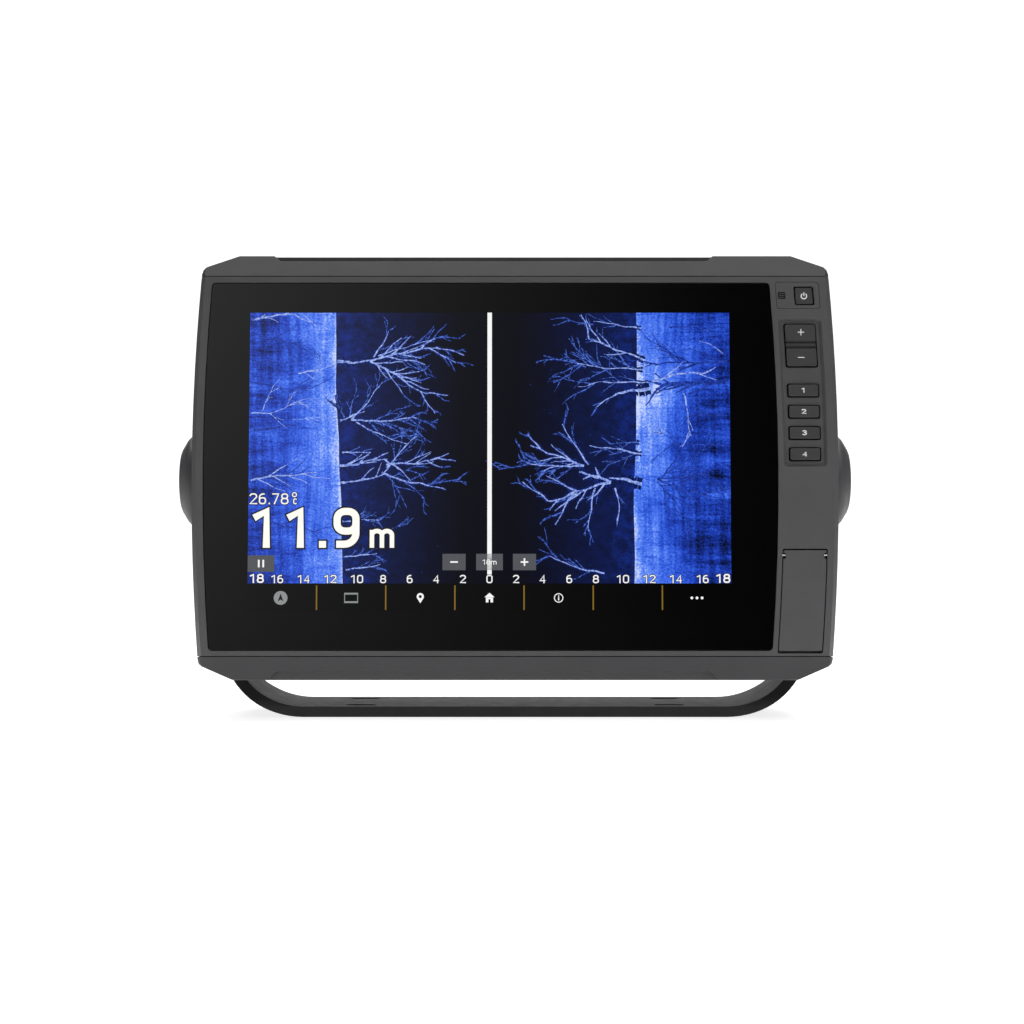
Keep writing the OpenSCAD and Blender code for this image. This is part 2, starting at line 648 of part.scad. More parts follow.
module threaded_inserts() color([0.8, 0.65, 0.3]) for (s = [-1, 1]) on_side(s, 114.2) difference() {
    cylinder(r = 7, h = boss_x - 114.3);
    translate([0, 0, -1]) cylinder(r = thread_r + 0.05, h = 30);
}

// ---- rear connectors ----------------------------------------------------------------------------

module connector_board() color(board_green) in_head() box(-110, -4, 8.6, 10.2, -56, -28);

// Port shells: an outer stretch for the plug's collar, a neck through the bay floor and a foot on the board
module port_shells() color(steel) in_head() for (i = [0:4]) difference() {
    union() {
        rod_y(port_x(i), port_z, port_r[i], bay_y, port_end_y);
        rod_y(port_x(i), port_z, port_r[i] - neck, 10.2, bay_y);
        rod_y(port_x(i), port_z, port_r[i] + 1, 10.2, bay_y - 3);
    }
    rod_y(port_x(i), port_z, port_r[i] - 1.8, 10, port_end_y + 1);
}

module port_inserts() color([0.08, 0.08, 0.08]) in_head() for (i = [0:4])
    rod_y(port_x(i), port_z, port_r[i] - 1.8, 10.2, 18.5);

module port_contacts() color([0.85, 0.7, 0.3]) in_head() for (i = [0:4], k = [0:port_pins[i] - 1])
    let (a = 360 * k / port_pins[i] + 45, q = port_r[i] - 4)
    rod_y(port_x(i) + q * cos(a), port_z + q * sin(a), 0.5, 18.5, 22.5);

// Dust cap over port i with a pull tab ring
module port_cap(i) color([0.07, 0.07, 0.07]) in_head() difference() {
    union() {
        rod_y(port_x(i), port_z, port_r[i] + 1.6, 17, 26);
        rod_y(port_x(i), port_z, port_r[i] + 2.2, 17, 18.4);
    }
    rod_y(port_x(i), port_z, port_r[i] + 0.3, 16, port_end_y + 0.3);
}
module port_cap_a() port_cap(1);
module port_cap_b() port_cap(3);

module vent_membrane() color([0.85, 0.85, 0.85]) in_head() rod_y(vent_x, port_z, 6.6, back_y - 1, back_y - 0.2);

bail_bracket();
rear_housing();
front_bezel();
top_trim();
bottom_trim();
cover_glass();
glass_gasket();
touch_sensor();
lcd_cell();
backlight_unit();
chassis_plate();
chassis_screws();
board_standoffs();
main_board();
board_screws();
processor();
memory_chips();
shield_cans();
heat_sink();
gps_antenna();
power_capacitors();
beeper();
display_ribbon();
keypad_ribbon();
housing_gasket();
housing_screws();
power_plate();
light_sensor();
power_button();
rocker_key();
key_1();
key_2();
key_3();
key_4();
keypad_membrane();
keypad_board();
card_door();
door_hinge_pin();
door_gasket();
card_tray();
card_board();
card_sockets();
knob_left();
knob_right();
knob_stud_left();
knob_stud_right();
washer_left();
washer_right();
friction_pad_left();
friction_pad_right();
threaded_inserts();
connector_board();
port_shells();
port_inserts();
port_contacts();
port_cap_a();
port_cap_b();
vent_membrane();
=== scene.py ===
"""Looks of a chartplotter display on its bail bracket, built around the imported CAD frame."""

import json
import math
import random

import bmesh
import bpy
from mathutils import Matrix, Vector


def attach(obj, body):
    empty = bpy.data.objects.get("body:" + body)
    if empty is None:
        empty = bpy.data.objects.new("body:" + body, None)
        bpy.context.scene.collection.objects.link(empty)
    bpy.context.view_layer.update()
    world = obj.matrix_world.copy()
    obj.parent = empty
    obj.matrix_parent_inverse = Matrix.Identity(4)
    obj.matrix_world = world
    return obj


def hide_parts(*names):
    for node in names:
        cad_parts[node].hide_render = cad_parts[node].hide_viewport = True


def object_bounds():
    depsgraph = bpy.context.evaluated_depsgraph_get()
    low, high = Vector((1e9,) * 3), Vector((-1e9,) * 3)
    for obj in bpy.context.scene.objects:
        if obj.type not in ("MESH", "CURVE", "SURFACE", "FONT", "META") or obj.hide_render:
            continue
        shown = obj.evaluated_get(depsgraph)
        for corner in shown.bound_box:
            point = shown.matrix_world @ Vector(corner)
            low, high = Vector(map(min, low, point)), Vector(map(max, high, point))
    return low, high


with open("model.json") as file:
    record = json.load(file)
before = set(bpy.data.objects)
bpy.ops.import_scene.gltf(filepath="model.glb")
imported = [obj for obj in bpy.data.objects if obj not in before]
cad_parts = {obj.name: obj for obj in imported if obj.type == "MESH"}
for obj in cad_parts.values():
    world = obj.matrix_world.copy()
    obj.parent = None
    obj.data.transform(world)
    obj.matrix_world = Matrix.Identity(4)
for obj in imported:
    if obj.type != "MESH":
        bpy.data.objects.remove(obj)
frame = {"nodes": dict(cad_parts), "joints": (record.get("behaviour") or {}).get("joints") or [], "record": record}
CAD_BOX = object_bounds()

MM = 0.001
NODES = frame["nodes"]
RECORD = frame["record"]
JOINTS = {j["name"]: j for j in frame["joints"]}
BODY_OF = {n: b for b, names in RECORD["behaviour"]["bodies"].items() for n in names}
SLOT_OF = {s["node"]: s["material_slot"] for s in RECORD["subparts"]}
COLOUR_OF = {m["slot"]: m["base_color"][:3] for m in RECORD["materials"]}

# ---- head axes ----
# The origin is on the tilt axis; x runs to the right, y to the back and z up along the screen.

PIVOT = Vector(JOINTS["tilt"]["pos_m"])
BACK = Vector(JOINTS["power_press"]["axis"]).normalized()
UP = Vector((1, 0, 0)).cross(BACK)
HEAD = Matrix.Translation(PIVOT) @ Matrix((Vector((1, 0, 0)), BACK, UP)).transposed().to_4x4()
TO_HEAD = HEAD.inverted()


def head_point(x, y, z):
    """A point in millimetres in head axes, in the row frame in metres."""
    return HEAD @ (Vector((x, y, z)) * MM)


def box_of(points):
    """Lowest and highest corner of some points."""
    return [Vector(f(p[i] for p in points) for i in range(3)) for f in (min, max)]


def head_box(node):
    """Lowest and highest corner of a CAD node in head axes, in millimetres."""
    return box_of([TO_HEAD @ v.co / MM for v in NODES[node].data.vertices])


def middle_of(low, high):
    """Middle of a box as seen from the front: x and z."""
    return (low.x + high.x) / 2, (low.z + high.z) / 2


# ---- node materials ----

MATERIALS = {}


class Tree:
    """Short calls for building a node tree."""

    def __init__(self, name):
        self.material = bpy.data.materials.new(name)
        self.material.use_nodes = True
        self.tree = self.material.node_tree
        self.shader = self.tree.nodes["Principled BSDF"]
        self.coords = None

    def put(self, kind, **values):
        node = self.tree.nodes.new(kind)
        for key, value in values.items():
            if hasattr(node, key) and key not in node.inputs:
                setattr(node, key, value)
            else:
                self.feed(node.inputs[key], value)
        return node

    def feed(self, socket, value):
        if isinstance(value, bpy.types.NodeSocket):
            self.tree.links.new(value, socket)
        else:
            socket.default_value = value

    def place(self, which="Object"):
        if self.coords is None:
            self.coords = self.put("ShaderNodeTexCoord")
        return self.coords.outputs[which]

    def maths(self, operation, a, b=0.0, c=0.0, clamp=False):
        node = self.put("ShaderNodeMath", operation=operation, use_clamp=clamp)
        for socket, value in zip(node.inputs, (a, b, c)):
            self.feed(socket, value)
        return node.outputs[0]

    def noise(self, scale, detail=3.0, roughness=0.55, vector=None):
        node = self.put("ShaderNodeTexNoise", Scale=scale, Detail=detail, Roughness=roughness)
        self.feed(node.inputs["Vector"], vector or self.place())
        return node.outputs["Fac"]

    def remap(self, value, low, high, to_low=0.0, to_high=1.0):
        node = self.put("ShaderNodeMapRange")
        sockets = ("Value", "From Min", "From Max", "To Min", "To Max")
        for key, given in zip(sockets, (value, low, high, to_low, to_high)):
            self.feed(node.inputs[key], given)
        return node.outputs[0]

    def ramp(self, value, stops):
        node = self.put("ShaderNodeValToRGB")
        self.feed(node.inputs[0], value)
        elements = node.color_ramp.elements
        while len(elements) < len(stops):
            elements.new(1.0)
        for element, (at, colour) in zip(elements, stops):
            element.position = at
            element.color = (*colour, 1.0)
        return node.outputs[0]

    def bump(self, height, strength, distance):
        node = self.put("ShaderNodeBump", Strength=strength, Distance=distance)
        self.feed(node.inputs["Height"], height)
        self.tree.links.new(node.outputs[0], self.shader.inputs["Normal"])

    def set(self, **values):
        for key, value in values.items():
            self.feed(self.shader.inputs[key.replace("_", " ")], value)


def shade(colour, factor):
    """A colour made darker or lighter."""
    return tuple(min(1.0, c * factor) for c in colour[:3])


def moulded(name, colour, rough=0.5, grain=2600.0, depth=0.05, spread=0.12, specular=0.45):
    """Moulded plastic or powder coat: fine grain, slight mottling and uneven sheen."""
    t = Tree(name)
    dark, light = shade(colour, 1 - spread), shade(colour, 1 + spread)
    t.set(Base_Color=t.ramp(t.noise(55.0, 4.0), [(0.3, dark), (0.7, light)]))
    t.set(Roughness=t.remap(t.noise(160.0, 3.0), 0.3, 0.7, rough - 0.05, rough + 0.05))
    t.set(Specular_IOR_Level=specular)
    t.bump(t.noise(grain, 2.0), 0.35, depth * MM)
    return t.material


def metal(name, colour, rough=0.32, brushed=0.02):
    """Plain or plated metal with faint tool marks."""
    t = Tree(name)
    marks = t.noise(900.0, 3.0)
    dark, light = shade(colour, 0.9), shade(colour, 1.06)
    t.set(Base_Color=t.ramp(t.noise(60.0), [(0.3, dark), (0.7, light)]), Metallic=1.0)
    t.set(Roughness=t.remap(marks, 0.3, 0.7, rough - 0.07, rough + 0.09))
    t.bump(marks, 0.25, brushed * MM)
    return t.material


def rubber(name, colour):
    """Dull rubber, a little uneven."""
    t = Tree(name)
    t.set(Base_Color=t.ramp(t.noise(120.0), [(0.3, shade(colour, 0.8)), (0.7, shade(colour, 1.3))]))
    t.set(Roughness=t.remap(t.noise(400.0), 0.3, 0.7, 0.68, 0.82))
    t.bump(t.noise(1800.0, 2.0), 0.3, 0.03 * MM)
    return t.material


def black_glass(name, colour=(0.0012, 0.0012, 0.0014)):
    """Cover glass with a black print behind it: clean gloss with very faint smears."""
    t = Tree(name)
    t.set(Base_Color=t.ramp(t.noise(18.0, 3.0), [(0.3, colour), (0.7, shade(colour, 1.5))]))
    t.set(Roughness=t.remap(t.noise(30.0, 4.0), 0.3, 0.75, 0.05, 0.075), IOR=1.52)
    return t.material


def lit(name, colour, strength=1.0):
    """A lit part of the screen picture, under the same gloss as the glass."""
    t = Tree(name)
    glow = t.ramp(t.noise(90.0, 2.0), [(0.3, shade(colour, 0.96)), (0.7, shade(colour, 1.03))])
    t.set(Base_Color=(0, 0, 0, 1), Roughness=0.06, Emission_Color=glow, Emission_Strength=strength)
    return t.material


def solder_mask(name, colour):
    """Circuit board: tracks as a faint grid of raised lines under lacquer."""
    t = Tree(name)
    cells = t.put("ShaderNodeTexVoronoi", Scale=420.0, distance="MANHATTAN", feature="F1")
    t.feed(cells.inputs["Vector"], t.place())
    t.set(Base_Color=t.ramp(cells.outputs[0], [(0.2, shade(colour, 1.6)), (0.45, colour)]), Roughness=0.3)
    t.bump(cells.outputs[0], 0.2, 0.04 * MM)
    return t.material


def build_materials():
    """One finish for each material slot; the factors bring the record's colours to the photograph's tones."""
    c = COLOUR_OF
    MATERIALS.update({
        "bail_metal": moulded("bail_powder_coat", shade(c["bail_metal"], 0.55), rough=0.6, grain=1500.0,
                              depth=0.09, spread=0.10, specular=0.15),
        "housing_plastic": moulded("housing_moulding", c["housing_plastic"], rough=0.58, grain=1700.0,
                                   depth=0.09),
        "bezel_plastic": moulded("bezel_moulding", shade(c["bezel_plastic"], 0.9), rough=0.4, depth=0.03,
                                 spread=0.06, specular=0.35),
        "trim_plastic": moulded("trim_moulding", shade(c["trim_plastic"], 0.75), rough=0.45, depth=0.03,
                                spread=0.06, specular=0.22),
        "key_plastic": moulded("key_moulding", shade(c["key_plastic"], 0.85), rough=0.42, grain=2800.0,
                               depth=0.03, spread=0.06),
        "knob_plastic": moulded("knob_moulding", shade(c["knob_plastic"], 1.4), grain=2200.0, spread=0.08),
        "cover_glass": black_glass("cover_glass_black"),
        "inner_glass": black_glass("inner_glass", (0.02, 0.022, 0.025)),
        "seal_rubber": rubber("seal_rubber", c["seal_rubber"]),
        "cap_rubber": rubber("cap_rubber", c["cap_rubber"]),
        "backlight_plastic": moulded("backlight_film", c["backlight_plastic"]),
        "chassis_aluminium": metal("chassis_aluminium", c["chassis_aluminium"], rough=0.4),
        "screw_steel": metal("screw_steel", c["screw_steel"], rough=0.3),
        "sheet_steel": metal("sheet_steel", c["sheet_steel"], rough=0.34),
        "port_metal": moulded("port_black_metal", c["port_metal"], rough=0.4, grain=2200.0, depth=0.03,
                              spread=0.1, specular=0.6),
        "board_laminate": solder_mask("board_solder_mask", c["board_laminate"]),
        "component_black": moulded("component_epoxy", c["component_black"]),
        "antenna_ceramic": moulded("antenna_ceramic", c["antenna_ceramic"], rough=0.6),
        "ribbon_film": moulded("ribbon_film", c["ribbon_film"], rough=0.35),
        "sensor_window": moulded("sensor_window", c["sensor_window"], rough=0.15, depth=0.01),
        "insert_brass": metal("insert_brass", c["insert_brass"], rough=0.28),
        "vent_film": moulded("vent_film", (0.09, 0.09, 0.095), rough=0.7),
        "legend_white": moulded("legend_white", (0.95, 0.95, 0.95), depth=0.005, spread=0.02),
    })


# ---- meshes ----

WELD = 0.002 * MM           # points of a CAD mesh that are nearer than this are one point


def mesh_from(bm, name):
    """The mesh of a bmesh, which is freed."""
    mesh = bpy.data.meshes.new(name)
    bm.to_mesh(mesh)
    bm.free()
    return mesh


def add_piece(name, mesh, slot, body, material=None):
    """Adds a mesh as a piece on a body, with its material slot and finish."""
    piece = bpy.data.objects.new(name, mesh)
    bpy.context.scene.collection.objects.link(piece)
    mesh.materials.clear()
    mesh.materials.append(material or MATERIALS[slot])
    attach(piece, body)
    return piece


def smooth(mesh, angle):
    """Shades a mesh smooth but for edges sharper than an angle in degrees."""
    for polygon in mesh.polygons:
        polygon.use_smooth = True
    mesh.set_sharp_from_angle(angle=math.radians(angle))


def weigh_normals(piece):
    """Leaves the broad faces flat, so that only the rounded edges catch the light."""
    modifier = piece.modifiers.new("weighted_normals", "WEIGHTED_NORMAL")
    modifier.keep_sharp = True
    modifier.weight = 100


def refine(node, width, segments=2, limit=25.0, flat=0.3, sharp=40.0, chamfer=0.0, chosen=None):
    """A finer copy of a CAD node that stands for it: one skin, its edges rounded by width millimetres.

    Where chosen says yes to an edge, in head axes, that edge is cut back by chamfer millimetres first.
    """
    bm = bmesh.new()
    bm.from_mesh(NODES[node].data)
    bmesh.ops.remove_doubles(bm, verts=bm.verts, dist=WELD)
    bmesh.ops.dissolve_limit(bm, angle_limit=math.radians(flat), verts=bm.verts, edges=bm.edges)
    if chamfer:
        edges = [e for e in bm.edges if len(e.link_faces) == 2 and chosen(e)]
        bmesh.ops.bevel(bm, geom=edges, offset=chamfer * MM, offset_type="OFFSET", segments=1,
                        affect="EDGES", clamp_overlap=True)
    bend_limit = math.radians(limit)
    edges = [e for e in bm.edges if len(e.link_faces) == 2 and e.calc_face_angle() > bend_limit]
    bmesh.ops.bevel(bm, geom=edges, offset=width * MM, offset_type="OFFSET", segments=segments,
                    profile=0.6, affect="EDGES", clamp_overlap=True)
    mesh = mesh_from(bm, node + "_finished")
    smooth(mesh, sharp)
    piece = add_piece(node + "_finished", mesh, SLOT_OF[node], BODY_OF[node])
    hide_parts(node)
    weigh_normals(piece)


def on_trim_step(edge):
    """True for the long edge where a trim's sloping face meets the top or bottom of its outline."""
    turn = TO_HEAD.to_3x3()
    sloping, rim = sorted(edge.link_faces, key=lambda f: (turn @ f.normal).y)
    across = turn @ rim.normal
    middle = TO_HEAD @ rim.calc_center_median()
    is_long = edge.calc_length() > 0.3 * (CAD_BOX[1][0] - CAD_BOX[0][0])
    faces_front = (turn @ sloping.normal).y < -0.5
    faces_outwards = abs(across.z) > 0.9 and across.z * middle.z > 0
    return is_long and faces_front and faces_outwards


def flat_piece(name, shapes, depth, slot, body, material=None):
    """Flat shapes in one piece, facing the viewer: each shape is a closed list of (x, z) in head axes."""
    bm = bmesh.new()
    for shape in shapes:
        bm.faces.new([bm.verts.new(head_point(x, depth, z)) for x, z in shape])
    return add_piece(name, mesh_from(bm, name), slot, body, material)


def rectangle(x0, x1, z0, z1):
    return [(x0, z0), (x1, z0), (x1, z1), (x0, z1)]


def centred(x, z, half_width, half_height):
    """Rectangle about a middle."""
    return rectangle(x - half_width, x + half_width, z - half_height, z + half_height)


def disc(x, z, r, n=32):
    angles = [2 * math.pi * i / n for i in range(n)]
    return [(x + r * math.cos(a), z + r * math.sin(a)) for a in angles]


def ring_shapes(x, z, outer, inner, start=0.0, sweep=360.0, n=40):
    """Quads of a flat ring, or of a part of one."""
    def at(r, a):
        return (x + r * math.cos(a), z + r * math.sin(a))
    angles = [math.radians(start + sweep * i / n) for i in range(n + 1)]
    return [[at(inner, a), at(outer, a), at(outer, b), at(inner, b)] for a, b in zip(angles, angles[1:])]


def loop(x0, x1, z0, z1, r=0.22, n=5):
    """Closed rounded rectangle."""
    corners = ((x1 - r, z0 + r, -90), (x1 - r, z1 - r, 0), (x0 + r, z1 - r, 90), (x0 + r, z0 + r, 180))
    points = [p for cx, cz, a in corners for p in bend(cx, cz, r, r, a, a + 90, n)]
    return points + points[:1]


def bend(cx, cz, rx, rz, a0, a1, n=8):
    """Arc of an ellipse from angle a0 to a1."""
    angles = [math.radians(a0 + (a1 - a0) * i / n) for i in range(n + 1)]
    return [(cx + rx * math.cos(a), cz + rz * math.sin(a)) for a in angles]


# Figures as strokes in a box one unit high: width, then the paths
FIGURES = {
    "0": (0.58, [loop(0, 0.58, 0, 1)]),
    "1": (0.56, [[(0.06, 0.8), (0.42, 1.0), (0.42, 0)]]),
    "2": (0.58, [[(0, 0.78)] + bend(0.22, 0.78, 0.22, 0.22, 180, 90)[1:]
                 + bend(0.36, 0.76, 0.22, 0.24, 90, -30) + [(0, 0), (0.58, 0)]]),
    "3": (0.58, [[(0, 0.82)] + bend(0.22, 0.78, 0.22, 0.22, 165, 90)
                 + bend(0.34, 0.77, 0.22, 0.23, 90, -90) + [(0.2, 0.54)],
                 [(0.34, 0.54)] + bend(0.34, 0.27, 0.24, 0.27, 90, -90)
                 + bend(0.22, 0.22, 0.22, 0.22, 270, 195)]),
    "4": (0.6, [[(0.45, 0), (0.45, 1), (0, 0.27), (0.6, 0.27)]]),
    "6": (0.54, [loop(0, 0.54, 0, 0.6),
                 [(0, 0.3)] + bend(0.34, 0.66, 0.34, 0.34, 180, 90, 10) + [(0.46, 1)]]),
    "7": (0.56, [[(0, 1), (0.56, 1), (0.2, 0)]]),
    "8": (0.58, [loop(0.03, 0.55, 0.53, 1), loop(0, 0.58, 0, 0.53)]),
    "9": (0.54, [loop(0, 0.54, 0.4, 1),
                 [(0.54, 0.7)] + bend(0.2, 0.34, 0.34, 0.34, 0, -90, 10) + [(0.08, 0)]]),
    ".": (0.08, [[(0.08, 0), (0.08, 0.1)]]),
    "m": (0.92, [[(0, 0), (0, 0.75)], bend(0.23, 0.5, 0.23, 0.2, 180, 0) + [(0.46, 0)],
                 bend(0.69, 0.5, 0.23, 0.2, 180, 0) + [(0.92, 0)]]),
    "C": (0.52, [[(0.52, 0.84)] + bend(0.26, 0.76, 0.26, 0.24, 30, 180)
                 + bend(0.26, 0.24, 0.26, 0.24, 180, 330) + [(0.52, 0.16)]]),
    "o": (0.34, [loop(0, 0.34, 0.66, 1, 0.16)]),
}
FIGURE_GAP = 0.14           # clear space between two figures, as a part of their height
LEAST_LEAN = 0.7            # limits a mitre, so that a sharp corner grows no spike


def unit(a, b):
    """Direction from one point to another, of length one."""
    dx, dz = b[0] - a[0], b[1] - a[1]
    size = math.hypot(dx, dz) or 1
    return dx / size, dz / size


def ribbon(path, widths):
    """Quads along a path with a width at each point and mitred corners.

    A path that ends where it began is closed.
    """
    closed = path[0] == path[-1]
    last = len(path) - 1
    sides = []
    for i, here in enumerate(path):
        before = path[i - 1] if i else (path[last - 1] if closed else None)
        after = path[i + 1] if i < last else (path[1] if closed else None)
        ways = [unit(a, b) for a, b in ((before, here), (here, after)) if a and b]
        ux, uz = unit((0, 0), (sum(way[0] for way in ways), sum(way[1] for way in ways)))
        lean = max(abs(ux * ways[0][0] + uz * ways[0][1]), LEAST_LEAN)
        half = widths[i] / 2 / lean
        sides.append(((here[0] - uz * half, here[1] + ux * half), (here[0] + uz * half, here[1] - ux * half)))
    return [[a1, b1, b0, a0] for (a0, a1), (b0, b1) in zip(sides, sides[1:])]


def lengthened(path, start, end):
    """An open path made longer at its start and its end."""
    def beyond(tip, inner, more):
        dx, dz = unit(inner, tip)
        return (tip[0] + dx * more, tip[1] + dz * more)
    return [beyond(path[0], path[1], start)] + path[1:-1] + [beyond(path[-1], path[-2], end)]


def figures(text, x, z, height, weight, stretch=1.25, anchor="left", edge=0.0, space=0.0):
    """Ribbons of a line of figures whose feet stand at z; edge adds a margin all round, for an outline."""
    tall = height - weight
    gap = FIGURE_GAP + space + weight / tall / stretch
    wide = [FIGURES[c][0] for c in text]
    total = (sum(wide) + gap * (len(text) - 1)) * tall * stretch + weight
    x += weight / 2 - {"left": 0, "centre": total / 2, "right": total}[anchor]
    shapes = []
    for c, w in zip(text, wide):
        for path in FIGURES[c][1]:
            placed = [(x + px * tall * stretch, z + weight / 2 + pz * tall) for px, pz in path]
            if path[0] != path[-1]:
                foot = [edge + (weight / 2 if tip[1] == 0 else 0) for tip in (path[0], path[-1])]
                placed = lengthened(placed, *foot)
            shapes += ribbon(placed, [weight + 2 * edge] * len(placed))
        x += (w + gap) * tall * stretch
    return shapes


# ---- screen picture ----

PANEL_LOW, PANEL_HIGH = head_box("lcd_cell")
CELL_MARGIN = 5.0           # how far the cell reaches past the lit area
LEFT = PANEL_LOW.x + CELL_MARGIN
RIGHT = PANEL_HIGH.x - CELL_MARGIN
BOTTOM = PANEL_LOW.z + CELL_MARGIN
TOP = PANEL_HIGH.z - CELL_MARGIN
MIDDLE = (LEFT + RIGHT) / 2
KEYS_TOP = BOTTOM + 12.8    # top of the soft-key bar, bottom of the sonar picture
GLASS_FACE = head_box("cover_glass")[0].y
LAYER = 0.06                # gap between the layers of the screen picture


def screen_piece(name, shapes, layer, material):
    """Flat shapes of the screen picture: layer 1 is next to the glass, and higher ones lie in front."""
    return flat_piece(name, shapes, GLASS_FACE - LAYER * layer, "cover_glass", "head", material)


def add_all(t, terms):
    """Sum of several values in a node tree."""
    total = terms[0]
    for term in terms[1:]:
        total = t.maths("ADD", total, term)
    return total


def seabed_glow(t, u, v, left, beyond, wobble, stretched):
    """Brightness of the seabed: streaks along the track, speckle, scratches and broad patches."""
    streak_at = t.put("ShaderNodeCombineXYZ", X=t.maths("MULTIPLY_ADD", wobble, 1.4, u),
                      Y=t.maths("MULTIPLY", v, 0.035))
    scratch_at = t.put("ShaderNodeCombineXYZ", X=t.maths("MULTIPLY", u, 0.25), Y=v)
    streaks = t.noise(95.0, 2.0, 0.5, streak_at.outputs[0])
    speckle = t.noise(120.0, 5.0, 0.85, stretched)
    patches = t.noise(5.0, 5.0, 0.6, stretched)
    scratches = t.noise(60.0, 3.0, 0.65, scratch_at.outputs[0])
    blotches = t.noise(17.0, 5.0, 0.7, scratch_at.outputs[0])
    outer = t.remap(beyond, 0.05, 0.16, 0.0, 1.0)
    from_patch = t.maths("ABSOLUTE", t.maths("SUBTRACT", v, 0.72))
    right = t.maths("SUBTRACT", 1.0, left)
    bright_patch = t.maths("MULTIPLY", t.remap(from_patch, 0.0, 0.16, 1.0, 0.0), right)
    return add_all(t, [
        t.remap(beyond, 0.0, 0.13, 0.74, 0.40),
        t.remap(beyond, 0.0, 0.012, 0.12, 0.0),
        t.remap(patches, 0.3, 0.7, -0.17, 0.17),
        t.remap(streaks, 0.35, 0.65, -0.09, 0.09),
        t.remap(speckle, 0.3, 0.7, -0.26, 0.26),
        t.remap(scratches, 0.25, 0.45, -0.2, 0.0),
        t.maths("MULTIPLY", outer, t.remap(blotches, 0.35, 0.6, -0.26, 0.08)),
        t.maths("MULTIPLY", bright_patch, t.remap(beyond, 0.0, 0.14, 0.26, 0.04)),
        t.maths("MULTIPLY", left, 0.05),
    ])


def water_glow(t, side, stretched):
    """Brightness of the water: faint haze near the bands that dies out towards the middle, and some dust."""
    near_band = t.remap(side, 0.05, 0.3, 0.0, 1.0)
    mist = t.remap(t.noise(22.0, 7.0, 0.8, stretched), 0.3, 0.75, 0.05, 0.30)
    dust = t.remap(t.noise(160.0, 2.0, 0.6, stretched), 0.62, 0.8, 0.0, 0.14)
    haze = t.maths("MULTIPLY", t.maths("POWER", near_band, 1.6), mist)
    return t.maths("ADD", haze, t.maths("MULTIPLY", dust, near_band))


def sonar_material():
    """Side-scan picture: a dark water column, and a bright speckled seabed band down each side."""
    t = Tree("sonar_picture")
    split = t.put("ShaderNodeSeparateXYZ")
    t.feed(split.inputs[0], t.place("UV"))
    u, v = split.outputs[0], split.outputs[1]
    side = t.maths("ABSOLUTE", t.maths("SUBTRACT", u, 0.5))
    left = t.maths("LESS_THAN", u, 0.5)
    # the bands' inner edges lean and wobble; the left one starts a little further out
    flow = t.put("ShaderNodeCombineXYZ", X=t.maths("MULTIPLY", u, 2.0), Y=t.maths("MULTIPLY", v, 0.35))
    wobble = t.remap(t.noise(6.0, 3.0, 0.5, flow.outputs[0]), 0.3, 0.7, -0.004, 0.004)
    lean = t.maths("MULTIPLY", v, t.maths("MULTIPLY_ADD", left, 0.010, 0.006))
    edge = add_all(t, [t.maths("ADD", lean, 0.300), wobble, t.maths("MULTIPLY", left, 0.005)])
    beyond = t.maths("SUBTRACT", side, edge)
    across = t.maths("SUBTRACT", t.maths("MULTIPLY", u, 1.6), t.maths("MULTIPLY", v, 0.4))
    along = t.maths("ADD", t.maths("MULTIPLY", u, 0.55), v)
    stretched = t.put("ShaderNodeCombineXYZ", X=across, Y=along).outputs[0]
    pick = t.put("ShaderNodeMix", data_type="FLOAT")
    t.feed(pick.inputs[0], t.maths("GREATER_THAN", beyond, 0.0))
    t.feed(pick.inputs[2], water_glow(t, side, stretched))
    t.feed(pick.inputs[3], seabed_glow(t, u, v, left, beyond, wobble, stretched))
    picture = t.ramp(pick.outputs[0], [(0.0, (0.0015, 0.002, 0.006)), (0.12, (0.004, 0.010, 0.07)),
                                       (0.35, (0.010, 0.04, 0.40)), (0.58, (0.035, 0.12, 0.78)),
                                       (0.8, (0.13, 0.28, 0.95)), (1.0, (0.60, 0.70, 1.0))])
    t.set(Base_Color=(0, 0, 0, 1), Roughness=0.06, Emission_Color=picture, Emission_Strength=1.0)
    return t.material


def echo_material(name, dark, bright, low, high):
    """Echoes of branches: uneven along their length."""
    t = Tree(name)
    colour = t.ramp(t.remap(t.noise(900.0, 4.0, 0.75), low, high), [(0.0, dark), (1.0, bright)])
    t.set(Base_Color=(0, 0, 0, 1), Roughness=0.06, Emission_Color=colour, Emission_Strength=1.0)
    return t.material


STRIDE = 1.3                # length of one straight piece of a branch
WANDER = 11                 # a branch turns by up to this many degrees at each stride
PULL = 0.25                 # and this part of the way back to its heading
TAPER = 0.6                 # part of its width that a branch loses by its tip
FORK_CHANCE = 0.3           # at each stride
PICTURE_MARGIN = 0.3        # the sonar echoes stay this far inside the picture


def grow(rng, x, z, angle, length, width, orders, out):
    """A branch that wanders about its heading and forks; appends (path, widths) to out."""
    steps = max(3, int(length / STRIDE))
    path, widths = [(x, z)], [width]
    heading = angle
    for i in range(steps):
        angle += rng.uniform(-WANDER, WANDER) + (heading - angle) * PULL
        x += math.cos(math.radians(angle)) * length / steps
        z += math.sin(math.radians(angle)) * length / steps
        path.append((x, z))
        widths.append(width * (1 - TAPER * (i + 1) / steps) * rng.uniform(0.6, 1.3))
        if orders and i > 0 and rng.random() < FORK_CHANCE:
            turn = rng.choice((-1, 1)) * rng.uniform(16, 42)
            grow(rng, x, z, angle + turn, length * rng.uniform(0.22, 0.58), width * 0.68, orders - 1, out)
    out.append((path, widths))


def inside(point):
    """True for a point of the sonar picture that isn't too near its edge."""
    x, z = point
    across = LEFT + PICTURE_MARGIN < x < RIGHT - PICTURE_MARGIN
    return across and KEYS_TOP + PICTURE_MARGIN < z < TOP - PICTURE_MARGIN


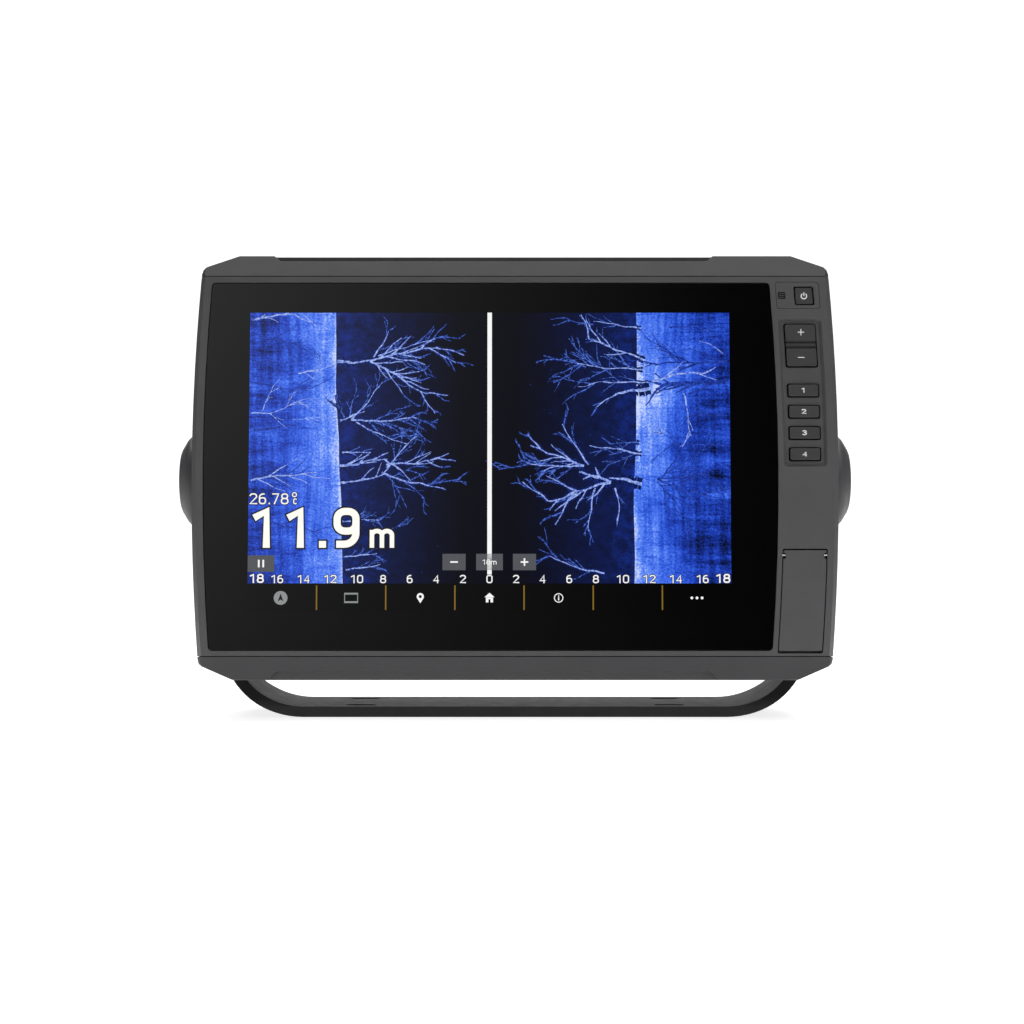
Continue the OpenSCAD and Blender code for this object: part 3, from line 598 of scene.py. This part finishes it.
def clipped(branches, scale=1.0):
    """Ribbons of the branches, without the strides that leave the picture."""
    shapes = []
    for path, widths in branches:
        for i in range(len(path) - 1):
            if inside(path[i]) and inside(path[i + 1]):
                shapes += ribbon(path[i:i + 2], [w * scale for w in widths[i:i + 2]])
    return shapes


# Sunken trees: where the trunk leaves the seabed in head axes, its heading in degrees, its length and width
# in millimetres, how many orders of branches it may bear, and the random seed
TREES = [
    (-80.5, 50.6, 2, 15, 1.9, 0, 3), (-66, 50.8, 8, 32, 1.3, 3, 11), (-66, 50.8, -28, 30, 1.2, 3, 12),
    (-64, 52.5, 62, 14, 0.9, 2, 13), (-62, 53, 25, 27, 0.9, 2, 14),
    (-79, 23.5, 5, 12, 1.5, 0, 15), (-74, 23.8, 3, 30, 1.1, 3, 16), (-74, 24, 40, 22, 0.9, 3, 17),
    (-72, 23, -22, 26, 0.9, 3, 18), (-75, 24.5, 72, 13, 0.8, 2, 19), (-77, 25, 112, 10, 0.8, 2, 20),
    (-79, 3.2, 3, 22, 1.5, 1, 21), (-58, 3.5, 4, 24, 1.2, 3, 22), (-58, 2, 35, 20, 0.9, 3, 23),
    (-60, 0, -25, 30, 1.1, 3, 24), (-78.5, -4.6, 3, 20, 1.3, 1, 25), (-78, 9, 3, 13, 1.0, 1, 26),
    (-78, -22, -10, 17, 0.9, 2, 27), (-77, -38, 10, 15, 1.1, 3, 28), (-76, -44, 8, 16, 1.0, 3, 29),
    (-60, -27, 20, 12, 0.7, 2, 30),
    (57, 65.7, 176, 22, 0.9, 1, 41), (36, 67.3, 171, 15, 0.7, 1, 42),
    (58.5, 51, 165, 27, 1.2, 2, 43), (57.8, 46.7, 176, 30, 1.0, 2, 44), (32, 48, 168, 20, 0.8, 2, 45),
    (61, 38.2, 186, 16, 2.2, 0, 46), (47, 36.3, 215, 12, 1.1, 3, 47), (60, 41, 181, 32, 0.9, 2, 48),
    (57, -5.2, 179, 15, 2.3, 0, 49), (43, -4.6, 148, 15, 2.2, 1, 50), (43, -4.6, 196, 30, 1.5, 3, 51),
    (31, 3, 150, 26, 1.3, 3, 52), (31, 3, 178, 26, 1.1, 3, 53), (33, 3.5, 118, 22, 1.1, 3, 54),
    (36, -7, 262, 20, 1.0, 3, 55), (45, -7, 275, 17, 1.0, 2, 56), (28, -9, 236, 18, 1.1, 3, 57),
    (57, 8.4, 170, 24, 1.0, 2, 58), (56, 13.5, 176, 14, 0.8, 1, 59), (40, -45.5, 172, 26, 0.9, 2, 60),
]

# Shadows on the seabed, in the same form
SHADOWS = [
    (-119, 51, -2, 22, 0.7, 1, 71), (-118, 19.5, 0, 20, 1.3, 0, 72), (-119, 41, -4, 26, 0.7, 1, 73),
    (-119, -1.5, 1, 24, 0.9, 1, 74), (-116, 62, -8, 22, 0.6, 2, 75), (-112, -22, -6, 26, 0.6, 1, 76),
    (96, 41, 180, 30, 1.9, 1, 81), (96, 50.5, 184, 33, 1.2, 2, 82), (70, 66, 12, 24, 0.7, 1, 83),
    (64, -3, 8, 30, 0.9, 3, 84), (64, -3, -16, 30, 0.9, 3, 85), (66, -2, 30, 24, 0.8, 3, 86),
    (64, -4, -44, 24, 0.8, 3, 87), (66, -3, 55, 18, 0.7, 2, 88), (94, 26, 184, 18, 1.0, 1, 89),
    (95, 12, 176, 24, 0.7, 2, 90), (82, 35, -80, 9, 1.0, 1, 91),
]

# Bright marks on the seabed, in the same form
GLINTS = [
    (-119, 69.5, 4, 26, 1.7, 1, 101), (-119, 27, 12, 22, 0.9, 2, 102), (-119, -3.5, 3, 30, 1.4, 1, 103),
    (-114, 28, 60, 12, 0.8, 2, 104), (62, 41.5, -1, 24, 1.6, 1, 105), (76, 36, -68, 20, 1.0, 2, 106),
    (94, 54, 140, 9, 0.9, 2, 107), (-98, 45, 14, 18, 1.0, 1, 108), (-100, 24, 2, 20, 0.6, 1, 109),
]


def branches_of(rows):
    """All the branches that grow from the rows of a table."""
    out = []
    for x, z, heading, length, width, orders, seed in rows:
        grow(random.Random(seed), x, z, heading, length, width, orders, out)
    return out


def specks(count, seed):
    """Small echoes of fish and weed between the trees and the middle."""
    rng = random.Random(seed)
    angles = [i * math.pi / 4 for i in range(8)]
    shapes = []
    for _ in range(count):
        side = rng.choice((-1, 1))
        x = MIDDLE + side * (14 + 50 * rng.random() ** 0.7)
        z = rng.uniform(KEYS_TOP + 2, TOP - 2)
        r = rng.uniform(0.18, 0.6)
        shapes.append([(x + r * rng.uniform(0.7, 1.3) * math.cos(a),
                        z + r * rng.uniform(0.7, 1.5) * math.sin(a)) for a in angles])
    return shapes


LIMB = 0.8                  # a branch that is wider than this at its foot is a limb, else a twig


def build_screen():
    """The sonar picture, its echoes in layers, and what the display draws over it."""
    picture = screen_piece("screen_picture", [rectangle(LEFT, RIGHT, KEYS_TOP, TOP)], 1, sonar_material())
    layer = picture.data.uv_layers.new(name="screen")
    for corner, uv in zip(picture.data.loops, rectangle(0, 1, 0, 1)):
        layer.data[corner.index].uv = uv
    halo = echo_material("echo_halo", (0.002, 0.003, 0.022), (0.008, 0.03, 0.26), 0.42, 0.66)
    core = echo_material("echo_core", (0.02, 0.06, 0.45), (0.42, 0.56, 1.0), 0.36, 0.60)
    twig = echo_material("echo_twig", (0.004, 0.015, 0.12), (0.12, 0.24, 0.85), 0.40, 0.64)
    shadow = echo_material("echo_shadow", (0.004, 0.012, 0.12), (0.03, 0.08, 0.55), 0.38, 0.64)
    trees = branches_of(TREES)
    limbs = [(path, widths) for path, widths in trees if widths[0] > LIMB]
    twigs = [(path, widths) for path, widths in trees if widths[0] <= LIMB]
    screen_piece("screen_echo_halo", clipped(trees, 2.6), 2, halo)
    screen_piece("screen_shadows", clipped(branches_of(SHADOWS)), 2, shadow)
    screen_piece("screen_twigs", clipped(twigs, 0.8), 3, twig)
    screen_piece("screen_echoes", clipped(limbs, 0.72) + clipped(branches_of(GLINTS), 0.6), 4, core)
    screen_piece("screen_specks", specks(60, 5), 2, halo)
    build_overlay()


SOFT_KEYS = 7
KEY_STEP = (RIGHT - LEFT) / SOFT_KEYS
SOFT_KEY_ROW = (BOTTOM + KEYS_TOP) / 2 - 0.1
SCALE_ROW = KEYS_TOP + 1.9
BOX_ROW = KEYS_TOP + 9.6
SCALE_UNITS = 36.4          # how many units of the distance scale the picture is wide
SCALE_END = 16              # the last even number on each side, before the one at the edge


def build_overlay():
    """What the display draws over its picture: centre line, soft-key bar, soft boxes, numbers and icons."""
    white = lit("screen_white", (0.9, 0.9, 0.9), 1.05)
    ink = lit("screen_ink", (0.01, 0.01, 0.014))
    line_half, line_foot = 1.0, KEYS_TOP + 4.0
    line = rectangle(MIDDLE - line_half, MIDDLE + line_half, line_foot, TOP)
    screen_piece("screen_centre_line", [line], 5, white)
    build_bar()
    build_boxes(white)
    build_numbers(white, ink)
    build_icons(white, ink)


def build_bar():
    """The black soft-key bar, with an amber line between each key and the next."""
    black = lit("screen_bar_black", (0.0012, 0.0012, 0.0015))
    amber = lit("screen_amber", (0.24, 0.14, 0.02))
    half, gap = 0.3, 0.9
    places = [LEFT + KEY_STEP * i for i in range(1, SOFT_KEYS)]
    dividers = [rectangle(x - half, x + half, BOTTOM + gap, KEYS_TOP - gap) for x in places]
    screen_piece("screen_bar", [rectangle(LEFT, RIGHT, BOTTOM, KEYS_TOP)], 1, black)
    screen_piece("screen_dividers", dividers, 2, amber)


def build_boxes(white):
    """Boxes over the picture with their signs: minus, range and plus in the middle, and pause at the left."""
    grey = lit("screen_grey", (0.085, 0.09, 0.10))
    minus, plus, pause = MIDDLE - 15.9, MIDDLE + 15.7, LEFT + 6.0
    pause_row = BOX_ROW - 0.7
    tall = 3.7              # half the height of a box
    arm, thin = 1.7, 0.35   # half the length and half the width of a sign's bar
    boxes = [centred(minus, BOX_ROW, 5.2, tall), centred(MIDDLE, BOX_ROW, 6.0, tall),
             centred(plus, BOX_ROW, 5.2, tall), centred(pause, pause_row, 6.0, tall)]
    signs = [centred(minus, BOX_ROW, arm, thin), centred(plus, BOX_ROW, arm, thin),
             rectangle(plus - thin, plus + thin, BOX_ROW - arm, BOX_ROW - thin),
             rectangle(plus - thin, plus + thin, BOX_ROW + thin, BOX_ROW + arm),
             centred(pause - 1.0, pause_row, 0.4, arm), centred(pause + 1.0, pause_row, 0.4, arm)]
    screen_piece("screen_boxes", boxes, 5, grey)
    screen_piece("screen_signs", signs, 6, white)


def build_numbers(white, ink):
    """Distance scale, temperature, depth and range, in white or cream, all but the range with a dark edge."""
    def print_figures(name, rows, colour, edge):
        screen_piece(name, [s for row in rows for s in figures(*row)], 6, colour)
        outlines = [s for row in rows for s in figures(*row[:7], edge, *row[8:])]
        screen_piece(name + "_edge", outlines, 5, ink)

    cream = lit("screen_cream", (0.95, 0.94, 0.88), 1.05)
    unit_width = (RIGHT - LEFT) / SCALE_UNITS
    warmth_row = KEYS_TOP + 35.6
    depth_row = KEYS_TOP + 16.0
    small = [(str(abs(n)), MIDDLE + n * unit_width, SCALE_ROW - 1.8, 3.7, 0.54, 1.2, "centre")
             for n in range(-SCALE_END, SCALE_END + 1, 2)]
    small += [("18", LEFT + 0.5, SCALE_ROW - 1.7, 4.1, 0.7, 1.25, "left"),
              ("18", RIGHT - 0.5, SCALE_ROW - 1.7, 4.1, 0.7, 1.25, "right"),
              ("26.78", LEFT + 0.5, warmth_row, 5.0, 0.64, 1.14, "left"),
              ("o", LEFT + 19.6, warmth_row - 0.3, 5.8, 0.5, 1.0, "left"),
              ("C", LEFT + 20.2, warmth_row, 2.7, 0.5, 1.1, "left")]
    large = [("11.9", LEFT + 0.1, depth_row, 18.0, 3.2, 1.06, "left", 0.0, 0.07),
             ("m", LEFT + 54.7, depth_row, 11.4, 2.0, 1.04, "left")]
    print_figures("screen_numbers", small, white, 0.3)
    print_figures("screen_depth", large, cream, 0.7)
    in_the_box = figures("18m", MIDDLE - 0.1, BOX_ROW - 1.15, 2.3, 0.32, 1.2, "centre")
    screen_piece("screen_range", in_the_box, 6, white)


def key_middle(number):
    """Middle of a soft key, counted from 0 at the left."""
    return LEFT + KEY_STEP * (number + 0.5)


def split_icon(x, z):
    """Frame with thicker bars at its top and bottom, for the split view."""
    wide, inner, high, low = 3.1, 2.75, 2.3, 1.5
    return [rectangle(x - wide, x + wide, z + low, z + high),
            rectangle(x - wide, x + wide, z - high, z - low),
            rectangle(x - wide, x - inner, z - low, z + low),
            rectangle(x + inner, x + wide, z - low, z + low)]


def pin_icon(x, z):
    """Map pin: a ring over a point."""
    point = [(x - 1.2, z - 0.5), (x, z - 2.4), (x + 1.2, z - 0.5), (x, z - 1.0)]
    return ring_shapes(x, z + 0.6, 1.6, 0.7, n=24) + [point]


def house_icon(x, z):
    """House: a roof, two walls and the wall over its door."""
    eaves, wall, door = 2.3, 1.6, 0.45
    return [[(x - eaves, z + 0.3), (x + eaves, z + 0.3), (x, z + 2.3)],
            rectangle(x - wall, x - door, z - 2.0, z + 0.2), rectangle(x + door, x + wall, z - 2.0, z + 0.2),
            rectangle(x - door, x + door, z - 0.6, z + 0.2)]


def note_icon(x, z):
    """Letter i in a ring."""
    half = 0.25
    return ring_shapes(x, z, 2.1, 1.7, n=28) + [rectangle(x - half, x + half, z - 1.1, z + 0.3),
                                                rectangle(x - half, x + half, z + 0.6, z + 1.1)]


def build_icons(white, ink):
    """Soft-key icons: heading arrow in a disc, split view, pin, house, note, and three dots."""
    pale = lit("screen_pale", (0.27, 0.29, 0.29))
    row = SOFT_KEY_ROW
    x = key_middle(0) - 0.6
    screen_piece("icon_disc", [disc(x, row, 3.1)], 2, pale)
    tip, notch = (x, row + 1.9), (x, row - 0.7)
    arrow = [[tip, (x - 1.3, row - 1.6), notch], [tip, notch, (x + 1.3, row - 1.6)]]
    screen_piece("icon_arrow", arrow, 3, ink)
    screen_piece("icon_split", split_icon(key_middle(1), row), 2, pale)
    dots = [disc(key_middle(6) + dx, row, 0.62, 18) for dx in (-2.3, 0, 2.3)]
    shapes = pin_icon(key_middle(2), row) + house_icon(MIDDLE, row) + note_icon(key_middle(4), row) + dots
    screen_piece("icons_white", shapes, 2, white)


# ---- legends on the keys ----

LEGEND_LIFT = 0.03          # how far a printed legend stands off its key


def legend(name, shapes, face, body):
    """A white legend printed on a key whose face is at this depth."""
    flat_piece(name, shapes, face - LEGEND_LIFT, "key_plastic", body, MATERIALS["legend_white"])


def build_legends():
    """White legends printed on the power button, the rocker and the number keys."""
    low, high = head_box("power_button")
    x, z = middle_of(low, high)
    ring = ring_shapes(x, z - 0.1, outer=1.5, inner=1.0, start=125, sweep=290, n=36)
    sign = ring + [rectangle(x - 0.22, x + 0.22, z - 0.1, z + 1.6)]
    legend("legend_power", sign, low.y, "power_button")
    low, high = head_box("rocker_key")
    x, z = middle_of(low, high)
    plus = z + (high.z - z) * 0.63
    minus = z - (z - low.z) * 0.59
    arm, thin = 1.45, 0.2
    signs = [centred(x, plus, arm, thin), rectangle(x - thin, x + thin, plus + thin, plus + arm),
             rectangle(x - thin, x + thin, plus - arm, plus - thin), centred(x, minus, 1.5, 0.18)]
    legend("legend_zoom", signs, low.y, "rocker")
    for n in "1234":
        low, high = head_box("key_" + n)
        x, z = middle_of(low, high)
        legend("legend_" + n, figures(n, x - 0.2, z - 1.1, 2.2, 0.48, 1.7, "centre"), low.y, "key_" + n)


def build_sensor_lines():
    """Three fine louvres over the light sensor's window."""
    low, high = head_box("light_sensor")
    inset, half, lift = 0.35, 0.16, 0.02
    rows = [low.z + (high.z - low.z) * k for k in (0.2, 0.5, 0.8)]
    lines = [rectangle(low.x + inset, high.x - inset, z - half, z + half) for z in rows]
    flat_piece("light_sensor_louvres", lines, low.y - lift, "bezel_plastic", "head")


# ---- details on the back ----

def islands(node):
    """Boxes in head axes of the separate shells of a CAD node, as (lowest, highest) pairs."""
    bm = bmesh.new()
    bm.from_mesh(NODES[node].data)
    bmesh.ops.remove_doubles(bm, verts=bm.verts, dist=WELD)
    left = set(bm.verts)
    boxes = []
    while left:
        reach = [left.pop()]
        shell = []
        while reach:
            vert = reach.pop()
            shell.append(TO_HEAD @ vert.co / MM)
            for edge in vert.link_edges:
                other = edge.other_vert(vert)
                if other in left:
                    left.discard(other)
                    reach.append(other)
        boxes.append(box_of(shell))
    bm.free()
    return boxes


def ring_piece(name, rings, slot, body, sides=40, round_sides=8):
    """Rings about the head's depth axis in one piece.

    Each is the x, y and z of its centre, its radius and the radius of its wire.
    """
    bm = bmesh.new()
    for x, y, z, radius, wire in rings:
        rows = []
        for i in range(sides):
            around = 2 * math.pi * i / sides
            row = []
            for k in range(round_sides):
                turn = 2 * math.pi * k / round_sides
                r = radius + wire * math.cos(turn)
                across, up = x + r * math.cos(around), z + r * math.sin(around)
                row.append(bm.verts.new(head_point(across, y + wire * math.sin(turn), up)))
            rows.append(row)
        for i in range(sides):
            for k in range(round_sides):
                j, m = (i + 1) % sides, (k + 1) % round_sides
                bm.faces.new((rows[i][k], rows[j][k], rows[j][m], rows[i][m]))
    bmesh.ops.recalc_face_normals(bm, faces=bm.faces)
    mesh = mesh_from(bm, name)
    smooth(mesh, 60)
    return add_piece(name, mesh, slot, body)


def rib_piece(name, low, high, count, reach, slot, body):
    """Gripping ribs around a round cap that faces the back, standing proud of it by reach."""
    x, z = middle_of(low, high)
    radius = (high.x - low.x) / 2
    start, end = high.y - (high.y - low.y) * 0.55, high.y - 0.9
    foot, crest, sunk = 0.35, 0.22, -0.3
    outline = ((-foot, sunk), (foot, sunk), (crest, reach), (-crest, reach))
    bm = bmesh.new()
    for i in range(count):
        a = 2 * math.pi * i / count
        across, out = Vector((-math.sin(a), 0, math.cos(a))), Vector((math.cos(a), 0, math.sin(a)))
        ends = []
        for y in (start, end):
            middle = Vector((x, y, z))
            points = [middle + out * (radius + proud) + across * side for side, proud in outline]
            ends.append([bm.verts.new(head_point(*p)) for p in points])
        near, far = ends
        bm.faces.new(near)
        bm.faces.new(far[::-1])
        for k in range(len(outline)):
            m = (k + 1) % len(outline)
            bm.faces.new((near[k], far[k], far[m], near[m]))
    bmesh.ops.recalc_face_normals(bm, faces=bm.faces)
    return add_piece(name, mesh_from(bm, name), slot, body)


def build_rear_details():
    """Threads on the open connector shells and grips on the dust caps."""
    caps = ("port_cap_a", "port_cap_b")
    capped = [sum(head_box(n), Vector()) / 2 for n in caps]
    least_radius = 3        # the shells' node has nothing wider than this but shells
    same_place = 5          # a shell this near a cap's middle is under it
    turns, pitch, first, wire = 4, 1.1, 1.3, 0.28
    rings = []
    for low, high in islands("port_shells"):
        middle = (low + high) / 2
        radius = (high.x - low.x) / 2
        if radius < least_radius or any(abs(middle.x - cap.x) < same_place for cap in capped):
            continue
        rings += [(middle.x, high.y - first - pitch * k, middle.z, radius, wire) for k in range(turns)]
    ring_piece("port_threads", rings, "port_metal", "head")
    for n in caps:
        rib_piece(n + "_grip", *head_box(n), 28, 0.3, "cap_rubber", BODY_OF[n])


# ---- the CAD parts ----

# Width in millimetres of the rounding on the edges of the parts that can be seen
EDGES = {"bail_bracket": 0.5, "rear_housing": 0.5, "front_bezel": 0.25, "top_trim": 0.25, "bottom_trim": 0.25,
         "cover_glass": 0.15, "power_plate": 0.12, "power_button": 0.25, "rocker_key": 0.25, "key_1": 0.25,
         "key_2": 0.25, "key_3": 0.25, "key_4": 0.25, "card_door": 0.3, "knob_left": 0.4, "knob_right": 0.4,
         "port_shells": 0.2, "port_cap_a": 0.3, "port_cap_b": 0.3, "housing_screws": 0.15, "card_tray": 0.2,
         "washer_left": 0.15, "washer_right": 0.15, "friction_pad_left": 0.2, "friction_pad_right": 0.2}


def finish_cad_parts():
    """Finer copies of the parts that can be seen, and a finish on the CAD mesh of the others."""
    for node, width in EDGES.items():
        if node in ("top_trim", "bottom_trim"):
            refine(node, width, chamfer=1.8, chosen=on_trim_step)
        else:
            refine(node, width)
    for node, ob in NODES.items():
        if node not in EDGES:
            ob.data.materials.clear()
            ob.data.materials.append(MATERIALS[SLOT_OF[node]])


# ---- stage ----

def backdrop():
    """A pale floor that curves up into a wall behind."""
    half_width, front, wall, top, radius = 6.0, -4.0, 3.0, 5.0, 1.5
    steps = 16
    drop = 0.2 * MM         # keeps the floor clear of the bracket's foot
    angles = [math.pi / 2 * i / steps for i in range(steps + 1)]
    curve = [(wall - radius + radius * math.sin(a), radius - radius * math.cos(a)) for a in angles]
    profile = [(front, 0.0)] + curve + [(wall, top)]
    bm = bmesh.new()
    rows = [[bm.verts.new((x, y, z - drop)) for y, z in profile] for x in (-half_width, half_width)]
    for i in range(len(profile) - 1):
        bm.faces.new((rows[0][i], rows[1][i], rows[1][i + 1], rows[0][i + 1]))
    mesh = mesh_from(bm, "backdrop")
    smooth(mesh, 180)
    ob = bpy.data.objects.new("backdrop", mesh)
    bpy.context.scene.collection.objects.link(ob)
    t = Tree("backdrop_paper")
    t.set(Base_Color=(0.6, 0.6, 0.6, 1), Roughness=0.9, Emission_Color=(1, 1, 1, 1), Emission_Strength=0.8)
    mesh.materials.append(t.material)


def softbox(name, place, target, width, height, radiance):
    """Area light that looks evenly lit at this radiance."""
    light = bpy.data.lights.new(name, "AREA")
    light.shape = "RECTANGLE"
    light.size, light.size_y = width, height
    light.energy = radiance * math.pi * width * height
    ob = bpy.data.objects.new(name, light)
    bpy.context.scene.collection.objects.link(ob)
    ob.location = place
    ob.rotation_euler = (Vector(target) - Vector(place)).to_track_quat("-Z", "Y").to_euler()


def card(name, place, width, height, turn, colour, glow=0.0, lying=False):
    """Card that stands or lies in the studio, unseen by the camera.

    A black one holds back reflections. A glowing one makes one, brightest at its upper left.
    """
    bm = bmesh.new()
    bmesh.ops.create_grid(bm, x_segments=1, y_segments=1, size=0.5)
    mesh = mesh_from(bm, name)
    raised = Matrix.Rotation(math.radians(0 if lying else 90), 4, "X")
    turned = Matrix.Rotation(math.radians(turn), 4, "Z")
    mesh.transform(Matrix.Translation(place) @ turned @ raised @ Matrix.Diagonal((width, height, 1, 1)))
    ob = bpy.data.objects.new(name, mesh)
    bpy.context.scene.collection.objects.link(ob)
    t = Tree(name + "_paper")
    t.set(Base_Color=(*colour, 1), Roughness=0.9)
    if glow:
        split = t.put("ShaderNodeSeparateXYZ")
        t.feed(split.inputs[0], t.place("Generated"))
        across = t.maths("POWER", t.remap(split.outputs[0], 0.05, 0.8, 1.0, 0.0), 1.6)
        fade = t.maths("MULTIPLY", across, t.remap(split.outputs[2], 0.0, 1.0, glow * 0.25, glow))
        t.set(Emission_Color=(1, 1, 1, 1), Emission_Strength=fade)
    mesh.materials.append(t.material)
    ob.visible_camera = False


def build_world():
    """Faint even light from all round, and colours shown as they are."""
    scene = bpy.context.scene
    scene.view_settings.view_transform = "Standard"
    world = bpy.data.worlds.new("studio")
    world.use_nodes = True
    colour, strength = world.node_tree.nodes["Background"].inputs[:2]
    colour.default_value = (1, 1, 1, 1)
    strength.default_value = 0.08
    scene.world = world


def build_camera():
    """The photograph's camera: level, about a metre in front and a little above the bracket's foot."""
    camera = bpy.data.cameras.new("camera")
    camera.lens = 78.1
    camera.sensor_width = 36.0
    ob = bpy.data.objects.new("camera", camera)
    bpy.context.scene.collection.objects.link(ob)
    ob.location = (-0.0014, -1.040, 0.0935)
    ob.rotation_euler = (math.radians(90), 0, 0)
    bpy.context.scene.camera = ob


def build_stage():
    """Backdrop, lights, cards and camera."""
    backdrop()
    build_world()
    centre = (0, 0, 0.1)
    softbox("front_light", (0.72, -1.15, 1.5), centre, 1.5, 1.0, radiance=2.1)
    softbox("top_light", (0, 0.35, 2.2), centre, 2.2, 1.5, radiance=4.2)
    card("glass_sheen_card", (0, -2.7, 0.75), 1.5, 1.3, 0, (0, 0, 0), glow=1.0)
    card("floor_card", (0, -2.4, 0.004), 5.0, 3.3, 0, (0.01, 0.01, 0.01), lying=True)
    for side, way in (("left", -1), ("right", 1)):
        card("side_card_" + side, (way * 0.95, 0.5, 0.55), 1.9, 1.1, 90, (0.002, 0.002, 0.002))
    build_camera()


build_materials()
finish_cad_parts()
build_screen()
build_legends()
build_sensor_lines()
build_rear_details()
build_stage()
